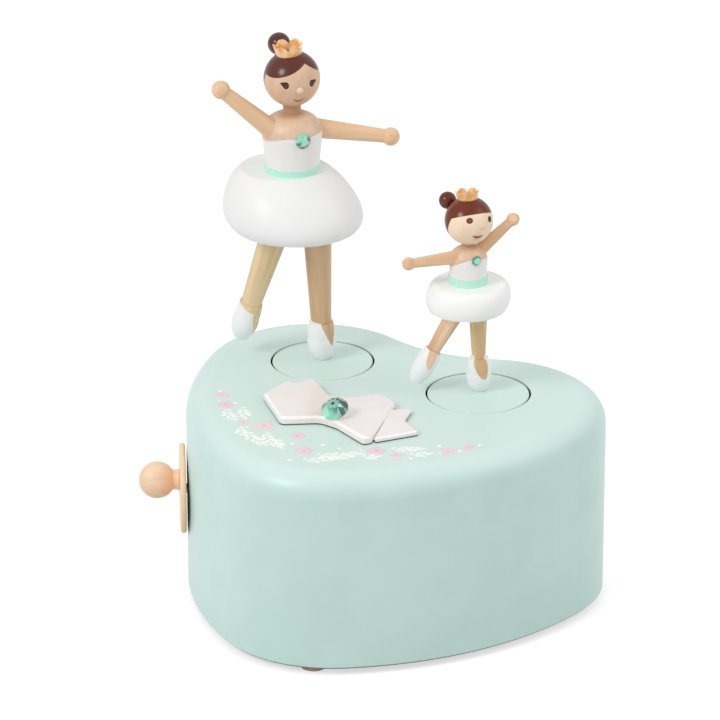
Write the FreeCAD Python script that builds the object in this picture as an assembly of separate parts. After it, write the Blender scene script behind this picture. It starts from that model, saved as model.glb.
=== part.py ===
import FreeCAD, Part
import math
import os
from types import SimpleNamespace

# A wooden music box in the shape of a heart, turned by a hand crank on its left flank.
# The crank turns a pinned cylinder against a steel comb, and through a crown wheel and three
# spur gears it turns two discs in the lid. A wooden dancer stands on each disc.
#
# Frame: millimetres, +Z up, +X to the right lobe, the heart's point towards -Y.
# The origin lies on the surface that the box stands on, midway between the lobe centres.

Vec = FreeCAD.Vector
UP = Vec(0, 0, 1)

# Fits between pieces
press_gap = 0.01
running_gap = 0.05
fit_gap = 0.15
thrust_gap = 0.3
rub_gap = 0.1

# Heart outline
lobe_offset = 30.0
lobe_radius = 35.1
tip_offset = 43.6
tip_radius = 36.1
flank_radius = 102.7
notch_radius = 43.2

# Box
foot_height = 2.0
body_height = 61.6
edge_radius = 7.7
base_chamfer = 0.8
wall = 8.0
lid_thickness = 10.0
board_thickness = 4.0
board_lip = 2.4

# Feet
foot_radius = 3.8
foot_inset = 6.3
foot_edge = 0.3
tip_foot_angle = -72.0
lobe_foot_angle = 50.0

# Board screws
screw_radius = 1.2
screw_head_radius = 2.4
board_screw_length = 13.0
board_screw_inset = 5.2
lobe_screw_angle = 25.0
tip_screw_angle = -62.0

# Turntables
left_disc_x = -27.4
right_disc_x = 25.9
disc_y = 0.75
disc_radius = 15.3
disc_gap = 0.6
disc_thickness = 4.0
disc_edge = 0.35
spindle_radius = 1.5
bush_radius = 3.0
bush_flange_radius = 4.5
bush_flange_thickness = 0.4
clip_radius = 3.0
clip_thickness = 1.0
spindle_tail = 2.0
spindle_seat = 2.2

# Crank
crank_angle = 31.5
crank_height = 32.7
crank_gap = 0.4
crank_plate_radius = 13.7
crank_plate_thickness = 1.8
crank_plate_edge = 0.8
crank_shaft_radius = 1.5
crank_bush_overhang = 1.0
collar_radius = 3.5
collar_length = 3.0
knob_offset = 8.5
knob_angle = 6.0
knob_reach = 6.6
knob_radius = 5.65
knob_neck_radius = 3.1
knob_foot_radius = 3.4
knob_pin_radius = 1.0
knob_pin_head_radius = 1.5
knob_pin_head_length = 1.0
knob_pin_length = 6.0

# Gears
pressure_angle = 20.0
tooth_backlash = 0.16
tooth_addendum = 0.75
tooth_dedendum = 1.1
drive_teeth = 18
disc_teeth = 36
disc_gear_thickness = 3.5
pinion_teeth = 12
crown_teeth = 24
crown_module = 1.0
crown_pinion_width = 1.6
crown_tooth_share = 0.34
crown_thickness = 2.2
crown_rim = 0.6
crown_hub_radius = 4.5
crown_spigot_radius = 3.2
cylinder_teeth = 36
cylinder_module = 0.6
cylinder_gear_thickness = 3.0
cylinder_drop = 10.0

# Musical movement
frame_plate_thickness = 3.0
frame_margin = 3.0
cheek_thickness = 2.5
cheek_reach = 16.0
cheek_land = 3.3
cylinder_radius = 6.3
cylinder_rim = 1.2
cylinder_web = 3.0
cylinder_hub_radius = 2.4
arbor_radius = 1.0
note_count = 18
note_pitch = 1.15
pins_per_note = 3
pin_radius = 0.3
pin_height = 0.6
comb_tooth_width = 0.8
comb_tooth_length = 9.0
comb_tooth_thickness = 0.8
comb_base_depth = 7.5
comb_base_thickness = 1.2
comb_tip_gap = 0.3
comb_screw_radius = 0.9
comb_screw_head_radius = 1.7
comb_screw_head = 1.0
comb_screw_length = 5.0
comb_screw_count = 3
frame_screw_length = 6.6

# Bow on the lid
bow_thickness = 2.6
bow_bevel = 0.7
bow_tail_thickness = 1.7
bow_tail_bevel = 0.45
bow_fold_round = 2.0
bow_fold_back_x = 9.2
bow_fold_back_y = -20.0
bow_fold_front_x = 16.0
bow_fold_front_y = -50.0
bow_tongue = 0.5
bow_seat_radius = 3.9
bow_gem_radius = 4.2
bow_gem_height = 2.9
bow_gem_tilt = 28.0
bow_gem_lift = 1.9
bow_gem_x = -0.9
bow_gem_y = -39.9

# Both dancers: they face this far round from the heart's own front
figure_turn = 28.33
peg_radius = 2.0
peg_length = 4.0
sole_peg_radius = 1.0
sole_peg_length = 1.4
crown_point_count = 6
gem_table = 0.55

# Large dancer, from the centre of the left disc's top
large_axis_x = -8.9
large_face = 17.0
large_stand_toe_x = 0.0
large_stand_toe_y = 2.4
large_stand_hip_x = -1.7
large_stand_hip_depth = 3.4
large_free_toe_x = -25.2
large_free_toe_y = 4.5
large_free_toe_z = 6.2
large_free_hip_x = -12.85
large_free_hip_y = -0.3
large_free_hip_depth = 1.9
large_hip_radius = 4.6
large_ankle_radius = 3.15
large_ankle_height = 12.4
large_foot_radius = 4.25
large_free_foot_radius = 3.95
large_toe_radius = 2.2
large_hem_height = 44.6
large_hem_radius = 19.0
large_wide_x = -8.5
large_wide_rise = 3.3
large_wide_radius = 20.9
large_skirt_rise = 14.4
large_skirt_top_radius = 12.8
large_skirt_power = 0.85
large_skirt_lean = 4.0
large_skirt_lean_angle = 147.0
large_waist_radius = 8.05
large_chest_radius = 9.1
large_chest_rise = 11.7
large_shoulder_rise = 6.2
large_neck_radius = 2.75
large_neck_length = 2.55
large_head_radius = 8.5
large_nose_radius = 1.05
large_nose_rise = -1.2
large_bun_radius = 3.45
large_bun_back = 9.2
large_bun_side = 1.25
large_bun_up = 7.85
large_crown_base = 3.7
large_crown_flare = 0.9
large_crown_height = 3.3
large_crown_wall = 0.6
large_crown_tilt = 6.0
large_crown_lean_angle = 175.0
large_belt_height = 2.2
large_belt_thickness = 0.25
large_gem_radius = 2.4
large_gem_height = 1.5
large_gem_rise = 11.9
large_gem_turn = 22.0
large_arm_radius = 3.1
large_wrist_radius = 2.1
large_hand_radius = 2.8
large_raised_shoulder_x = -5.3
large_raised_shoulder_y = -3.4
large_raised_shoulder_drop = 4.7
large_raised_reach_x = -15.7
large_raised_reach_y = -2.6
large_raised_reach_z = 14.1
large_level_shoulder_x = 5.7
large_level_shoulder_y = 2.4
large_level_shoulder_drop = 5.5
large_level_reach_x = 23.8
large_level_reach_y = 1.6
large_level_reach_z = -3.5

# Small dancer, from the centre of the right disc's top
small_axis_x = -3.3
small_face = 33.0
small_stand_toe_x = 0.3
small_stand_toe_y = 3.0
small_stand_hip_x = -0.4
small_stand_hip_depth = 2.7
small_free_toe_x = -19.0
small_free_toe_y = 1.4
small_free_toe_z = 3.5
small_free_hip_x = -4.25
small_free_hip_y = 4.6
small_free_hip_depth = 1.2
small_hip_radius = 3.0
small_ankle_radius = 2.05
small_ankle_height = 11.0
small_foot_radius = 3.65
small_free_foot_radius = 3.2
small_toe_radius = 2.0
small_hem_height = 27.8
small_hem_radius = 11.7
small_wide_x = -3.3
small_wide_rise = 3.5
small_wide_radius = 12.7
small_skirt_rise = 4.7
small_skirt_top_radius = 10.0
small_skirt_power = 0.5
small_skirt_lean = 0.6
small_skirt_lean_angle = 30.0
small_waist_radius = 5.6
small_chest_radius = 5.7
small_chest_rise = 6.5
small_shoulder_rise = 4.8
small_neck_radius = 2.1
small_neck_length = 1.05
small_head_radius = 7.25
small_nose_radius = 0.7
small_nose_rise = 0.2
small_bun_radius = 2.65
small_bun_back = 8.9
small_bun_side = 1.6
small_bun_up = 3.8
small_crown_base = 2.85
small_crown_flare = 0.8
small_crown_height = 2.5
small_crown_wall = 0.5
small_crown_tilt = 6.0
small_crown_lean_angle = 123.0
small_belt_height = 2.5
small_belt_thickness = 0.2
small_gem_radius = 1.45
small_gem_height = 1.0
small_gem_rise = 8.6
small_gem_turn = 24.0
small_arm_radius = 2.15
small_wrist_radius = 1.45
small_hand_radius = 2.0
small_raised_shoulder_x = 2.1
small_raised_shoulder_y = 1.6
small_raised_shoulder_drop = 3.1
small_raised_reach_x = 11.1
small_raised_reach_y = 2.0
small_raised_reach_z = 10.3
small_level_shoulder_x = -2.9
small_level_shoulder_y = -1.9
small_level_shoulder_drop = 2.6
small_level_reach_x = -14.9
small_level_reach_y = -2.6
small_level_reach_z = -1.2

# Levels and places that follow from the sizes above
body_bottom = foot_height
body_top = body_bottom + body_height
cavity_floor = body_bottom + board_thickness
ceiling = body_top - lid_thickness
well_depth = disc_thickness + bush_flange_thickness + rub_gap
disc_gear_top = ceiling - thrust_gap
disc_gear_bottom = disc_gear_top - disc_gear_thickness
large_waist_height = large_hem_height + large_wide_rise + large_skirt_rise
large_shoulder_height = large_waist_height + large_chest_rise + large_shoulder_rise
small_waist_height = small_hem_height + small_wide_rise + small_skirt_rise
small_shoulder_height = small_waist_height + small_chest_rise + small_shoulder_rise


def direction(degrees):
    """Unit vector in the XY plane at an angle from +X."""
    return Vec(math.cos(math.radians(degrees)), math.sin(math.radians(degrees)), 0)


def bearing(vector):
    """Angle of a vector in the XY plane, in degrees from +X."""
    return math.degrees(math.atan2(vector.y, vector.x))


# Heart outline: two lobes and the point are arcs, joined by two long flank arcs and a notch arc

right_lobe = Vec(lobe_offset, 0, 0)
left_lobe = Vec(-lobe_offset, 0, 0)
tip_centre = Vec(0, -tip_offset, 0)
notch_centre = Vec(0, math.sqrt((lobe_radius + notch_radius) ** 2 - lobe_offset ** 2), 0)


def left_flank_centre():
    """Centre of the arc that touches the left lobe and the tip circle from outside."""
    to_tip = tip_centre - left_lobe
    span = to_tip.Length
    from_lobe = flank_radius - lobe_radius
    from_tip = flank_radius - tip_radius
    along = (span ** 2 + from_lobe ** 2 - from_tip ** 2) / (2 * span)
    aside = math.sqrt(from_lobe ** 2 - along ** 2)
    unit = to_tip * (1 / span)
    return left_lobe + unit * along + UP.cross(unit) * aside


left_flank = left_flank_centre()
right_flank = Vec(-left_flank.x, left_flank.y, 0)


def mirrored(point):
    return Vec(-point.x, point.y, point.z)


def heart_wire(inset, z):
    """The heart's outline, moved inwards by inset, at a height."""
    lobe = lobe_radius - inset
    tip = tip_radius - inset
    flank = flank_radius - inset
    notch = notch_radius + inset
    tip_angle = bearing(tip_centre - right_flank)
    lobe_start = bearing(right_lobe - right_flank)
    lobe_end = bearing(notch_centre - right_lobe)
    tip_end = tip_centre + direction(tip_angle) * tip
    flank_middle = right_flank + direction((tip_angle + lobe_start) / 2) * flank
    flank_end = right_lobe + direction(lobe_start) * lobe
    lobe_middle = right_lobe + direction((lobe_start + lobe_end) / 2) * lobe
    lobe_stop = right_lobe + direction(lobe_end) * lobe
    tip_middle = tip_centre + Vec(0, -tip, 0)
    notch_middle = notch_centre + Vec(0, -notch, 0)
    stations = [
        (mirrored(tip_end), tip_middle, tip_end),
        (tip_end, flank_middle, flank_end),
        (flank_end, lobe_middle, lobe_stop),
        (lobe_stop, notch_middle, mirrored(lobe_stop)),
        (mirrored(lobe_stop), mirrored(lobe_middle), mirrored(flank_end)),
        (mirrored(flank_end), mirrored(flank_middle), mirrored(tip_end)),
    ]
    lift = Vec(0, 0, z)
    edges = [Part.Arc(a + lift, b + lift, c + lift).toShape() for a, b, c in stations]
    return Part.Wire(edges)


def heart_prism(inset, z, height):
    return Part.Face(heart_wire(inset, z)).extrude(Vec(0, 0, height))


def lobe_point(side, angle, inset):
    """A point near the rim of a lobe; side is 1 on the right and -1 on the left."""
    point = right_lobe + direction(angle) * (lobe_radius - inset)
    return point if side > 0 else mirrored(point)


def tip_point(angle, inset):
    return tip_centre + direction(angle) * (tip_radius - inset)


# Crank line: it enters the left flank square to the surface

inward = direction(crank_angle)
sideways = direction(crank_angle - 90)
crank_seat = left_flank - inward * flank_radius


def along(depth, aside=0.0, z=crank_height):
    """A point by its depth behind the flank's surface, its distance aside and its height."""
    point = crank_seat + inward * depth + sideways * aside
    return Vec(point.x, point.y, z)


def placed(shape, position, rotation):
    """A copy of a shape, turned about the origin and then moved to a position."""
    moved = shape.copy()
    moved.Placement = FreeCAD.Placement(position, rotation).multiply(moved.Placement)
    return moved


def on_crank_line(shape, depth, aside=0.0, z=crank_height):
    """Turn a shape built along +Z so that it lies along the crank line."""
    rotation = FreeCAD.Rotation(sideways, UP * -1, inward, "ZXY")
    return placed(shape, along(depth, aside, z), rotation)


def rod(radius, start, end, aside=0.0, z=crank_height):
    """A round rod along the crank line between two depths."""
    return Part.makeCylinder(radius, end - start, along(start, aside, z), inward)


def upright(radius, bottom, top, x, y):
    return Part.makeCylinder(radius, top - bottom, Vec(x, y, bottom))


def ring(outer, inner, bottom, top, x, y):
    return upright(outer, bottom, top, x, y).cut(upright(inner, bottom, top, x, y))


# The centre wheel stands where the crank line crosses the line midway between the discs

centre_x = (left_disc_x + right_disc_x) / 2
centre_depth = (centre_x - crank_seat.x) / inward.x
centre = along(centre_depth, 0, 0)
left_disc = Vec(left_disc_x, disc_y, 0)
right_disc = Vec(right_disc_x, disc_y, 0)
disc_gear_distance = (left_disc - centre).Length
disc_module = 2 * disc_gear_distance / (drive_teeth + disc_teeth)


# Gears

def pitch_radius(teeth, module):
    return teeth * module / 2


def involute(base, radius):
    """Polar angle of an involute at a radius, in radians."""
    ratio = base / radius
    return math.sqrt(1 / ratio ** 2 - 1) - math.acos(ratio)


def polar(radius, angle):
    return Vec(radius * math.cos(angle), radius * math.sin(angle), 0)


def gear_wire(teeth, module):
    """Outline of a spur gear with a tooth centred on +X."""
    pitch = pitch_radius(teeth, module)
    base = pitch * math.cos(math.radians(pressure_angle))
    tip = pitch + tooth_addendum * module
    root = pitch - tooth_dedendum * module
    start = max(base, root) * 1.002
    middle = (start + tip) / 2
    half = (math.pi * module / 2 - tooth_backlash) / (2 * pitch) + involute(base, pitch)
    step = 2 * math.pi / teeth
    edges = []
    for number in range(teeth):
        turn = number * step
        low, mid, high = [half - involute(base, r) for r in (start, middle, tip)]
        rise = [polar(start, turn - low), polar(middle, turn - mid), polar(tip, turn - high)]
        fall = [polar(tip, turn + high), polar(middle, turn + mid), polar(start, turn + low)]
        foot = polar(root, turn - low)
        foot_end = polar(root, turn + low)
        gap_middle = polar(root, turn + step / 2)
        next_foot = polar(root, turn + step - low)
        edges.append(Part.makeLine(foot, rise[0]))
        edges.append(Part.Arc(*rise).toShape())
        edges.append(Part.Arc(rise[2], polar(tip, turn), fall[0]).toShape())
        edges.append(Part.Arc(*fall).toShape())
        edges.append(Part.makeLine(fall[2], foot_end))
        edges.append(Part.Arc(foot_end, gap_middle, next_foot).toShape())
    return Part.Wire(edges)


def spur_gear(teeth, module, thickness, bore, rotation):
    """A spur gear standing on the XY plane, turned by rotation in degrees."""
    blank = Part.Face(gear_wire(teeth, module)).extrude(Vec(0, 0, thickness))
    blank = blank.cut(Part.makeCylinder(bore, thickness))
    blank.rotate(Vec(), UP, rotation)
    return blank


def meshed(rotation, teeth, mate_teeth, line):
    """Rotation of a gear that meshes with one at the given rotation, along a line's bearing."""
    return line + 180 - (rotation - line) * teeth / mate_teeth - 180 / mate_teeth


# Box

def body_shell():
    """Heart-shaped box, milled out from below, with two wells in its lid."""
    shell = heart_prism(0, body_bottom, body_height)
    top_edges = [e for e in shell.Edges if e.BoundBox.ZMin > body_top - base_chamfer]
    shell = shell.makeFillet(edge_radius, top_edges)
    low_edges = [e for e in shell.Edges if e.BoundBox.ZMax < body_bottom + base_chamfer]
    shell = shell.makeChamfer(base_chamfer, low_edges)
    shell = shell.cut(heart_prism(board_lip, body_bottom, board_thickness))
    shell = shell.cut(heart_prism(wall, cavity_floor, ceiling - cavity_floor))
    cutters = [rod(bush_radius + press_gap, -lid_thickness, 2 * wall)]
    for disc in (left_disc, right_disc):
        well = body_top - well_depth
        cutters.append(upright(disc_radius + disc_gap, well, body_top, disc.x, disc.y))
        cutters.append(upright(bush_radius + press_gap, ceiling, well, disc.x, disc.y))
    post_bore = crank_shaft_radius + press_gap
    cutters.append(upright(post_bore, ceiling, post_top(), centre.x, centre.y))
    for place in board_screw_places():
        top = body_bottom + board_screw_length + rub_gap
        cutters.append(upright(screw_radius + press_gap, cavity_floor, top, place.x, place.y))
    return shell.cut(cutters)


def board_screw_places():
    places = []
    for side in (1, -1):
        places.append(lobe_point(side, lobe_screw_angle, board_screw_inset))
        tip = tip_point(tip_screw_angle, board_screw_inset)
        places.append(tip if side > 0 else mirrored(tip))
    return places


def countersunk_screw(x, y, bottom, length):
    """A wood screw that points up, its head flush with the level bottom."""
    head = screw_head_radius - screw_radius
    shank = upright(screw_radius, bottom, bottom + length, x, y)
    cone = Part.makeCone(screw_head_radius, screw_radius, head, Vec(x, y, bottom))
    slot_depth = head / 2
    slot = Part.makeBox(2 * screw_head_radius, slot_depth, slot_depth,
                        Vec(x - screw_head_radius, y - slot_depth / 2, bottom))
    return shank.fuse(cone).cut(slot)


def countersink(x, y, bottom, thickness):
    """The hole for such a screw through a plate."""
    head = screw_head_radius - screw_radius
    hole = upright(screw_radius + press_gap, bottom, bottom + thickness, x, y)
    cone = Part.makeCone(screw_head_radius + press_gap, screw_radius + press_gap, head,
                         Vec(x, y, bottom))
    return hole.fuse(cone)


def frame_screw_places():
    """Four places near the corners of the movement's plate."""
    inset = screw_head_radius + 1
    near = frame_start + inset
    far = frame_end - inset
    left = frame_left + inset
    right = frame_right - inset
    spots = [(near, left), (far, left), (bed_start + inset, right), (far, right)]
    return [along(depth, aside, 0) for depth, aside in spots]


def bottom_board():
    board = heart_prism(board_lip + fit_gap, body_bottom, board_thickness)
    places = board_screw_places() + frame_screw_places()
    return board.cut([countersink(p.x, p.y, body_bottom, board_thickness) for p in places])


def board_screws():
    return [countersunk_screw(p.x, p.y, body_bottom, board_screw_length)
            for p in board_screw_places()]


def foot_pads():
    places = [tip_point(tip_foot_angle, foot_inset)]
    places += [lobe_point(side, lobe_foot_angle, foot_inset) for side in (1, -1)]
    pads = []
    for place in places:
        pad = upright(foot_radius, 0, foot_height, place.x, place.y)
        rim = [e for e in pad.Edges if e.BoundBox.ZMax < foot_height / 2]
        pads.append(pad.makeFillet(foot_edge, rim))
    return pads


# Bow: a flat wooden bow with a raised seat for its gem

def bow_wings():
    """Corners of the two wings and the knot, clockwise from the left tip, with their rounds."""
    return [
        (-28.2, -34.6, 2.0),
        (-26.6, -22.4, 2.0),
        (-22.9, -23.6, 1.0),
        (-21.2, -16.8, 2.0),
        (-9.6, -27.1, 4.0),
        (-4.4, -26.0, 4.0),
        (2.4, -18.6, 1.6),
        (9.6, -21.6, 1.6),
        (15.7, -48.0, 0.9),
        (14.2, -50.2, 1.2),
        (1.6, -43.6, 5.0),
        (-4.6, -42.4, 5.0),
        (-14.4, -48.8, 2.0),
    ]


def bow_tail():
    """Corners of the notched tail that comes out from under the right wing."""
    return [
        (10.3, -26.4, 0.5),
        (15.5, -22.1, 0.7),
        (17.3, -30.6, 0.7),
        (25.1, -36.3, 0.7),
        (16.2, -47.6, 0.7),
    ]


def rounded_wire(corners, z):
    """A closed outline whose corners are arcs of their own radius, tangent to both sides."""
    points = [Vec(x, y, z) for x, y, _ in corners]
    count = len(points)
    ends = []
    for index, (_, _, radius) in enumerate(corners):
        corner = points[index]
        back = (points[index - 1] - corner).normalize()
        ahead = (points[(index + 1) % count] - corner).normalize()
        half = back.getAngle(ahead) / 2
        reach = radius / math.tan(half)
        bisector = (back + ahead).normalize()
        middle = corner + bisector * (radius / math.sin(half) - radius)
        ends.append((corner + back * reach, middle, corner + ahead * reach))
    edges = []
    for index, (start, middle, end) in enumerate(ends):
        edges.append(Part.Arc(start, middle, end).toShape())
        edges.append(Part.makeLine(end, ends[(index + 1) % count][0]))
    return Part.Wire(edges)


def tilted(shape, lift):
    """Lean a shape built on the XY plane towards -Y, on the bow's gem seat."""
    return placed(shape, Vec(bow_gem_x, bow_gem_y, body_top + lift),
                  FreeCAD.Rotation(Vec(1, 0, 0), bow_gem_tilt))


def bevelled_plate(corners, thickness, bevel):
    """A plate on the lid with a rounded outline and a bevel round its upper face."""
    plate = Part.Face(rounded_wire(corners, body_top)).extrude(UP * thickness)
    upper = [e for e in plate.Edges if e.BoundBox.ZMin > body_top + thickness - bevel]
    return plate.makeChamfer(bevel, upper)


def fold_cutter():
    """What the right wing loses where it rolls down to the tail: a block less a round rod."""
    back = Vec(bow_fold_back_x, bow_fold_back_y, body_top + bow_thickness)
    front = Vec(bow_fold_front_x, bow_fold_front_y, body_top + bow_thickness)
    length = (front - back).Length
    block = Part.makeBox(length, 2 * bow_fold_round, bow_fold_round + rub_gap,
                         Vec(0, -bow_fold_round, -bow_fold_round))
    axle = Part.makeCylinder(bow_fold_round, length, Vec(0, -bow_fold_round, -bow_fold_round),
                             Vec(1, 0, 0))
    return placed(block.cut(axle), back, FreeCAD.Rotation(UP, bearing(front - back)))


def bow():
    wings = bevelled_plate(bow_wings(), bow_thickness, bow_bevel).cut(fold_cutter())
    tail = bevelled_plate(bow_tail(), bow_tail_thickness, bow_tail_bevel)
    tongue = Part.Face(rounded_wire(bow_tail(), body_top)).extrude(UP * bow_tongue)
    tongue.translate(Vec(-bow_fold_round, 0, 0))
    seat_height = bow_thickness + bow_gem_lift
    seat = tilted(Part.makeCylinder(bow_seat_radius, seat_height, Vec(0, 0, -seat_height)),
                  seat_height)
    below = Part.makeBox(4 * bow_gem_radius, 4 * bow_gem_radius, 4 * bow_gem_radius,
                         Vec(bow_gem_x - 2 * bow_gem_radius, bow_gem_y - 2 * bow_gem_radius,
                             body_top - 4 * bow_gem_radius))
    return wings.fuse([tail, tongue, seat.cut(below)]).removeSplitter()


def cut_stone(radius, height):
    """A cut stone with a flat back on the XY plane: a girdle, two rows of facets and a table."""
    sides = 12
    levels = [(radius * 0.96, 0.0), (radius, height * 0.2), (radius * 0.85, height * 0.62),
              (radius * gem_table, height)]
    wires = []
    for size, z in levels:
        points = [polar(size, 2 * math.pi * k / sides) + Vec(0, 0, z) for k in range(sides)]
        wires.append(Part.makePolygon(points + points[:1]))
    return Part.makeLoft(wires, True, True)


def bow_gem():
    return tilted(cut_stone(bow_gem_radius, bow_gem_height), bow_thickness + bow_gem_lift)


# Turntables

def turning_disc(disc, d):
    """A disc on its spindle, with a hole in its top for the peg under the dancer's foot."""
    bottom = body_top - disc_thickness
    plate = upright(disc_radius, bottom, body_top, disc.x, disc.y)
    rim = [e for e in plate.Edges if e.BoundBox.ZMin > body_top - disc_edge]
    plate = plate.makeFillet(disc_edge, rim)
    foot = FreeCAD.Rotation(UP, figure_turn).multVec(d.stand_toe) + disc
    peg_hole = upright(sole_peg_radius + press_gap, body_top - sole_peg_length - press_gap,
                       body_top, foot.x, foot.y)
    seat = upright(spindle_radius + press_gap, bottom, bottom + spindle_seat + press_gap,
                   disc.x, disc.y)
    return plate.cut([peg_hole, seat])


def spindle(disc):
    """A shaft that carries the disc and runs down through the bush, the gear and the clip."""
    bottom = disc_gear_bottom - clip_thickness - spindle_tail
    top = body_top - disc_thickness + spindle_seat
    return upright(spindle_radius, bottom, top, disc.x, disc.y)


def spindle_bush(disc):
    floor = body_top - well_depth
    sleeve = upright(bush_radius, ceiling, floor, disc.x, disc.y)
    flange = upright(bush_flange_radius, floor, floor + bush_flange_thickness, disc.x, disc.y)
    bore = upright(spindle_radius + running_gap, ceiling, body_top, disc.x, disc.y)
    return sleeve.fuse(flange).cut(bore).removeSplitter()


def disc_gear(disc):
    line = bearing(disc - centre)
    rotation = meshed(drive_rotation, drive_teeth, disc_teeth, line)
    gear = spur_gear(disc_teeth, disc_module, disc_gear_thickness, spindle_radius + press_gap,
                     rotation)
    gear.translate(Vec(disc.x, disc.y, disc_gear_bottom))
    return gear


def spindle_clip(disc):
    top = disc_gear_bottom
    return ring(clip_radius, spindle_radius + press_gap, top - clip_thickness, top,
                disc.x, disc.y)


# Centre wheel: a crown wheel and a spur gear on one hub, turning on a post in the lid

drive_rotation = bearing(left_disc - centre)
crown_pitch = pitch_radius(crown_teeth, crown_module)
pinion_pitch = pitch_radius(pinion_teeth, crown_module)
crown_level = crank_height + pinion_pitch
crown_floor = crown_level + tooth_dedendum * crown_module
crown_top = crown_floor + crown_thickness
crown_half_width = crown_pinion_width / 2 + thrust_gap
crown_radius = crown_pitch + crown_half_width + crown_rim
post_clip_top = crown_floor - rub_gap
post_bottom = post_clip_top - clip_thickness - rub_gap


def post_top():
    return ceiling + lid_thickness / 2


def crown_tooth():
    """One tooth that hangs from the crown, as wide as its angle, with sloping flanks."""
    inner = crown_pitch - crown_half_width
    outer = crown_pitch + crown_half_width
    slope = math.tan(math.radians(pressure_angle))
    share = crown_tooth_share * 2 * math.pi / crown_teeth
    levels = [(crown_level - tooth_addendum * crown_module, -1), (crown_floor, 1)]
    wires = []
    for z, sign in levels:
        reach = abs(z - crown_level) * slope * sign / crown_pitch
        half = share / 2 + reach
        points = [polar(inner, -half), polar(outer, -half), polar(outer, half),
                  polar(inner, half)]
        points = [p + Vec(0, 0, z) for p in points]
        wires.append(Part.makePolygon(points + points[:1]))
    return Part.makeLoft(wires, True, True)


def crown_wheel():
    disc = Part.makeCylinder(crown_radius, crown_thickness, Vec(0, 0, crown_floor))
    shoulder = disc_gear_bottom - crown_top
    hub = Part.makeCylinder(crown_hub_radius, shoulder, Vec(0, 0, crown_top))
    spigot_length = disc_gear_top - disc_gear_bottom
    spigot = Part.makeCylinder(crown_spigot_radius, spigot_length, Vec(0, 0, disc_gear_bottom))
    facing = bearing(inward) + 180 + 180 / crown_teeth
    teeth = []
    for number in range(crown_teeth):
        tooth = crown_tooth()
        tooth.rotate(Vec(), UP, facing + 360 * number / crown_teeth)
        teeth.append(tooth)
    wheel = disc.fuse([hub, spigot] + teeth).removeSplitter()
    bore = Part.makeCylinder(crank_shaft_radius + running_gap, ceiling, Vec())
    wheel = wheel.cut(bore)
    wheel.translate(Vec(centre.x, centre.y, 0))
    return wheel


def drive_gear():
    gear = spur_gear(drive_teeth, disc_module, disc_gear_thickness,
                     crown_spigot_radius + press_gap, drive_rotation)
    gear.translate(Vec(centre.x, centre.y, disc_gear_bottom))
    return gear


def centre_post():
    return upright(crank_shaft_radius, post_bottom, post_top(), centre.x, centre.y)


def post_clip():
    return ring(clip_radius, crank_shaft_radius + press_gap, post_clip_top - clip_thickness,
                post_clip_top, centre.x, centre.y)


# Crank

plate_back = -crank_gap
plate_front = plate_back - crank_plate_thickness
knob_aside = -knob_offset * math.cos(math.radians(knob_angle))
knob_z = crank_height - knob_offset * math.sin(math.radians(knob_angle))
bush_end = wall + crank_bush_overhang


def crank_plate():
    plate = rod(crank_plate_radius, plate_front, plate_back)
    edges = [e for e in plate.Edges if e.Length > math.pi * crank_plate_radius]
    plate = plate.makeFillet(crank_plate_edge, edges)
    plate = plate.cut(rod(crank_shaft_radius + press_gap, plate_front, plate_back))
    return plate.cut(rod(knob_pin_radius + press_gap, plate_front, plate_back,
                         knob_aside, knob_z))


def crank_shaft():
    return rod(crank_shaft_radius, plate_front, cheek_far + cheek_thickness + 1)


def crank_bush():
    sleeve = rod(bush_radius, thrust_gap, bush_end)
    return sleeve.cut(rod(crank_shaft_radius + running_gap, thrust_gap, bush_end))


def crank_collar():
    start = bush_end + thrust_gap
    collar = rod(collar_radius, start, start + collar_length)
    return collar.cut(rod(crank_shaft_radius + press_gap, start, start + collar_length))


def revolved(profile):
    """Turn a closed profile of (radius, height) points and arcs about the Z axis."""
    return Part.Face(profile).revolve(Vec(), UP, 360)


def facing_out(shape, depth, aside, z):
    """Place a shape built along +Z so that it points out of the flank."""
    rotation = FreeCAD.Rotation(sideways, UP, inward * -1, "ZXY")
    return placed(shape, along(depth, aside, z), rotation)


def at(radius, z):
    return Vec(radius, 0, z)


def crank_knob():
    """A turned ball with a short neck, bored for the pin that it spins on."""
    neck_top = knob_reach - math.sqrt(knob_radius ** 2 - knob_neck_radius ** 2)
    flare = knob_foot_radius - knob_neck_radius
    profile = Part.Wire([
        Part.makeLine(at(0, 0), at(knob_foot_radius, 0)),
        Part.Arc(at(knob_foot_radius, 0), at(knob_neck_radius + flare * 0.25, neck_top * 0.3),
                 at(knob_neck_radius, neck_top)).toShape(),
        Part.Arc(at(knob_neck_radius, neck_top), at(knob_radius, knob_reach),
                 at(0, knob_reach + knob_radius)).toShape(),
        Part.makeLine(at(0, knob_reach + knob_radius), at(0, 0)),
    ])
    knob = revolved(profile)
    bore = Part.makeCylinder(knob_pin_radius + running_gap, knob_pin_length)
    chamber_start = knob_pin_length - knob_pin_head_length - running_gap - rub_gap
    chamber = Part.makeCylinder(knob_pin_head_radius + running_gap,
                                knob_pin_head_length + 2 * running_gap + rub_gap,
                                Vec(0, 0, chamber_start))
    knob = knob.cut(bore).cut(chamber)
    return facing_out(knob, plate_front - rub_gap, knob_aside, knob_z)


def knob_pin():
    start = -rub_gap - crank_plate_thickness
    shank = Part.makeCylinder(knob_pin_radius, knob_pin_length - start - rub_gap,
                              Vec(0, 0, start))
    head = Part.makeCylinder(knob_pin_head_radius, knob_pin_head_length,
                             Vec(0, 0, knob_pin_length - knob_pin_head_length - rub_gap))
    pin = shank.fuse(head).removeSplitter()
    return facing_out(pin, plate_front - rub_gap, knob_aside, knob_z)


# Musical movement: a frame with two cheeks, a pinned cylinder and a comb

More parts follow.
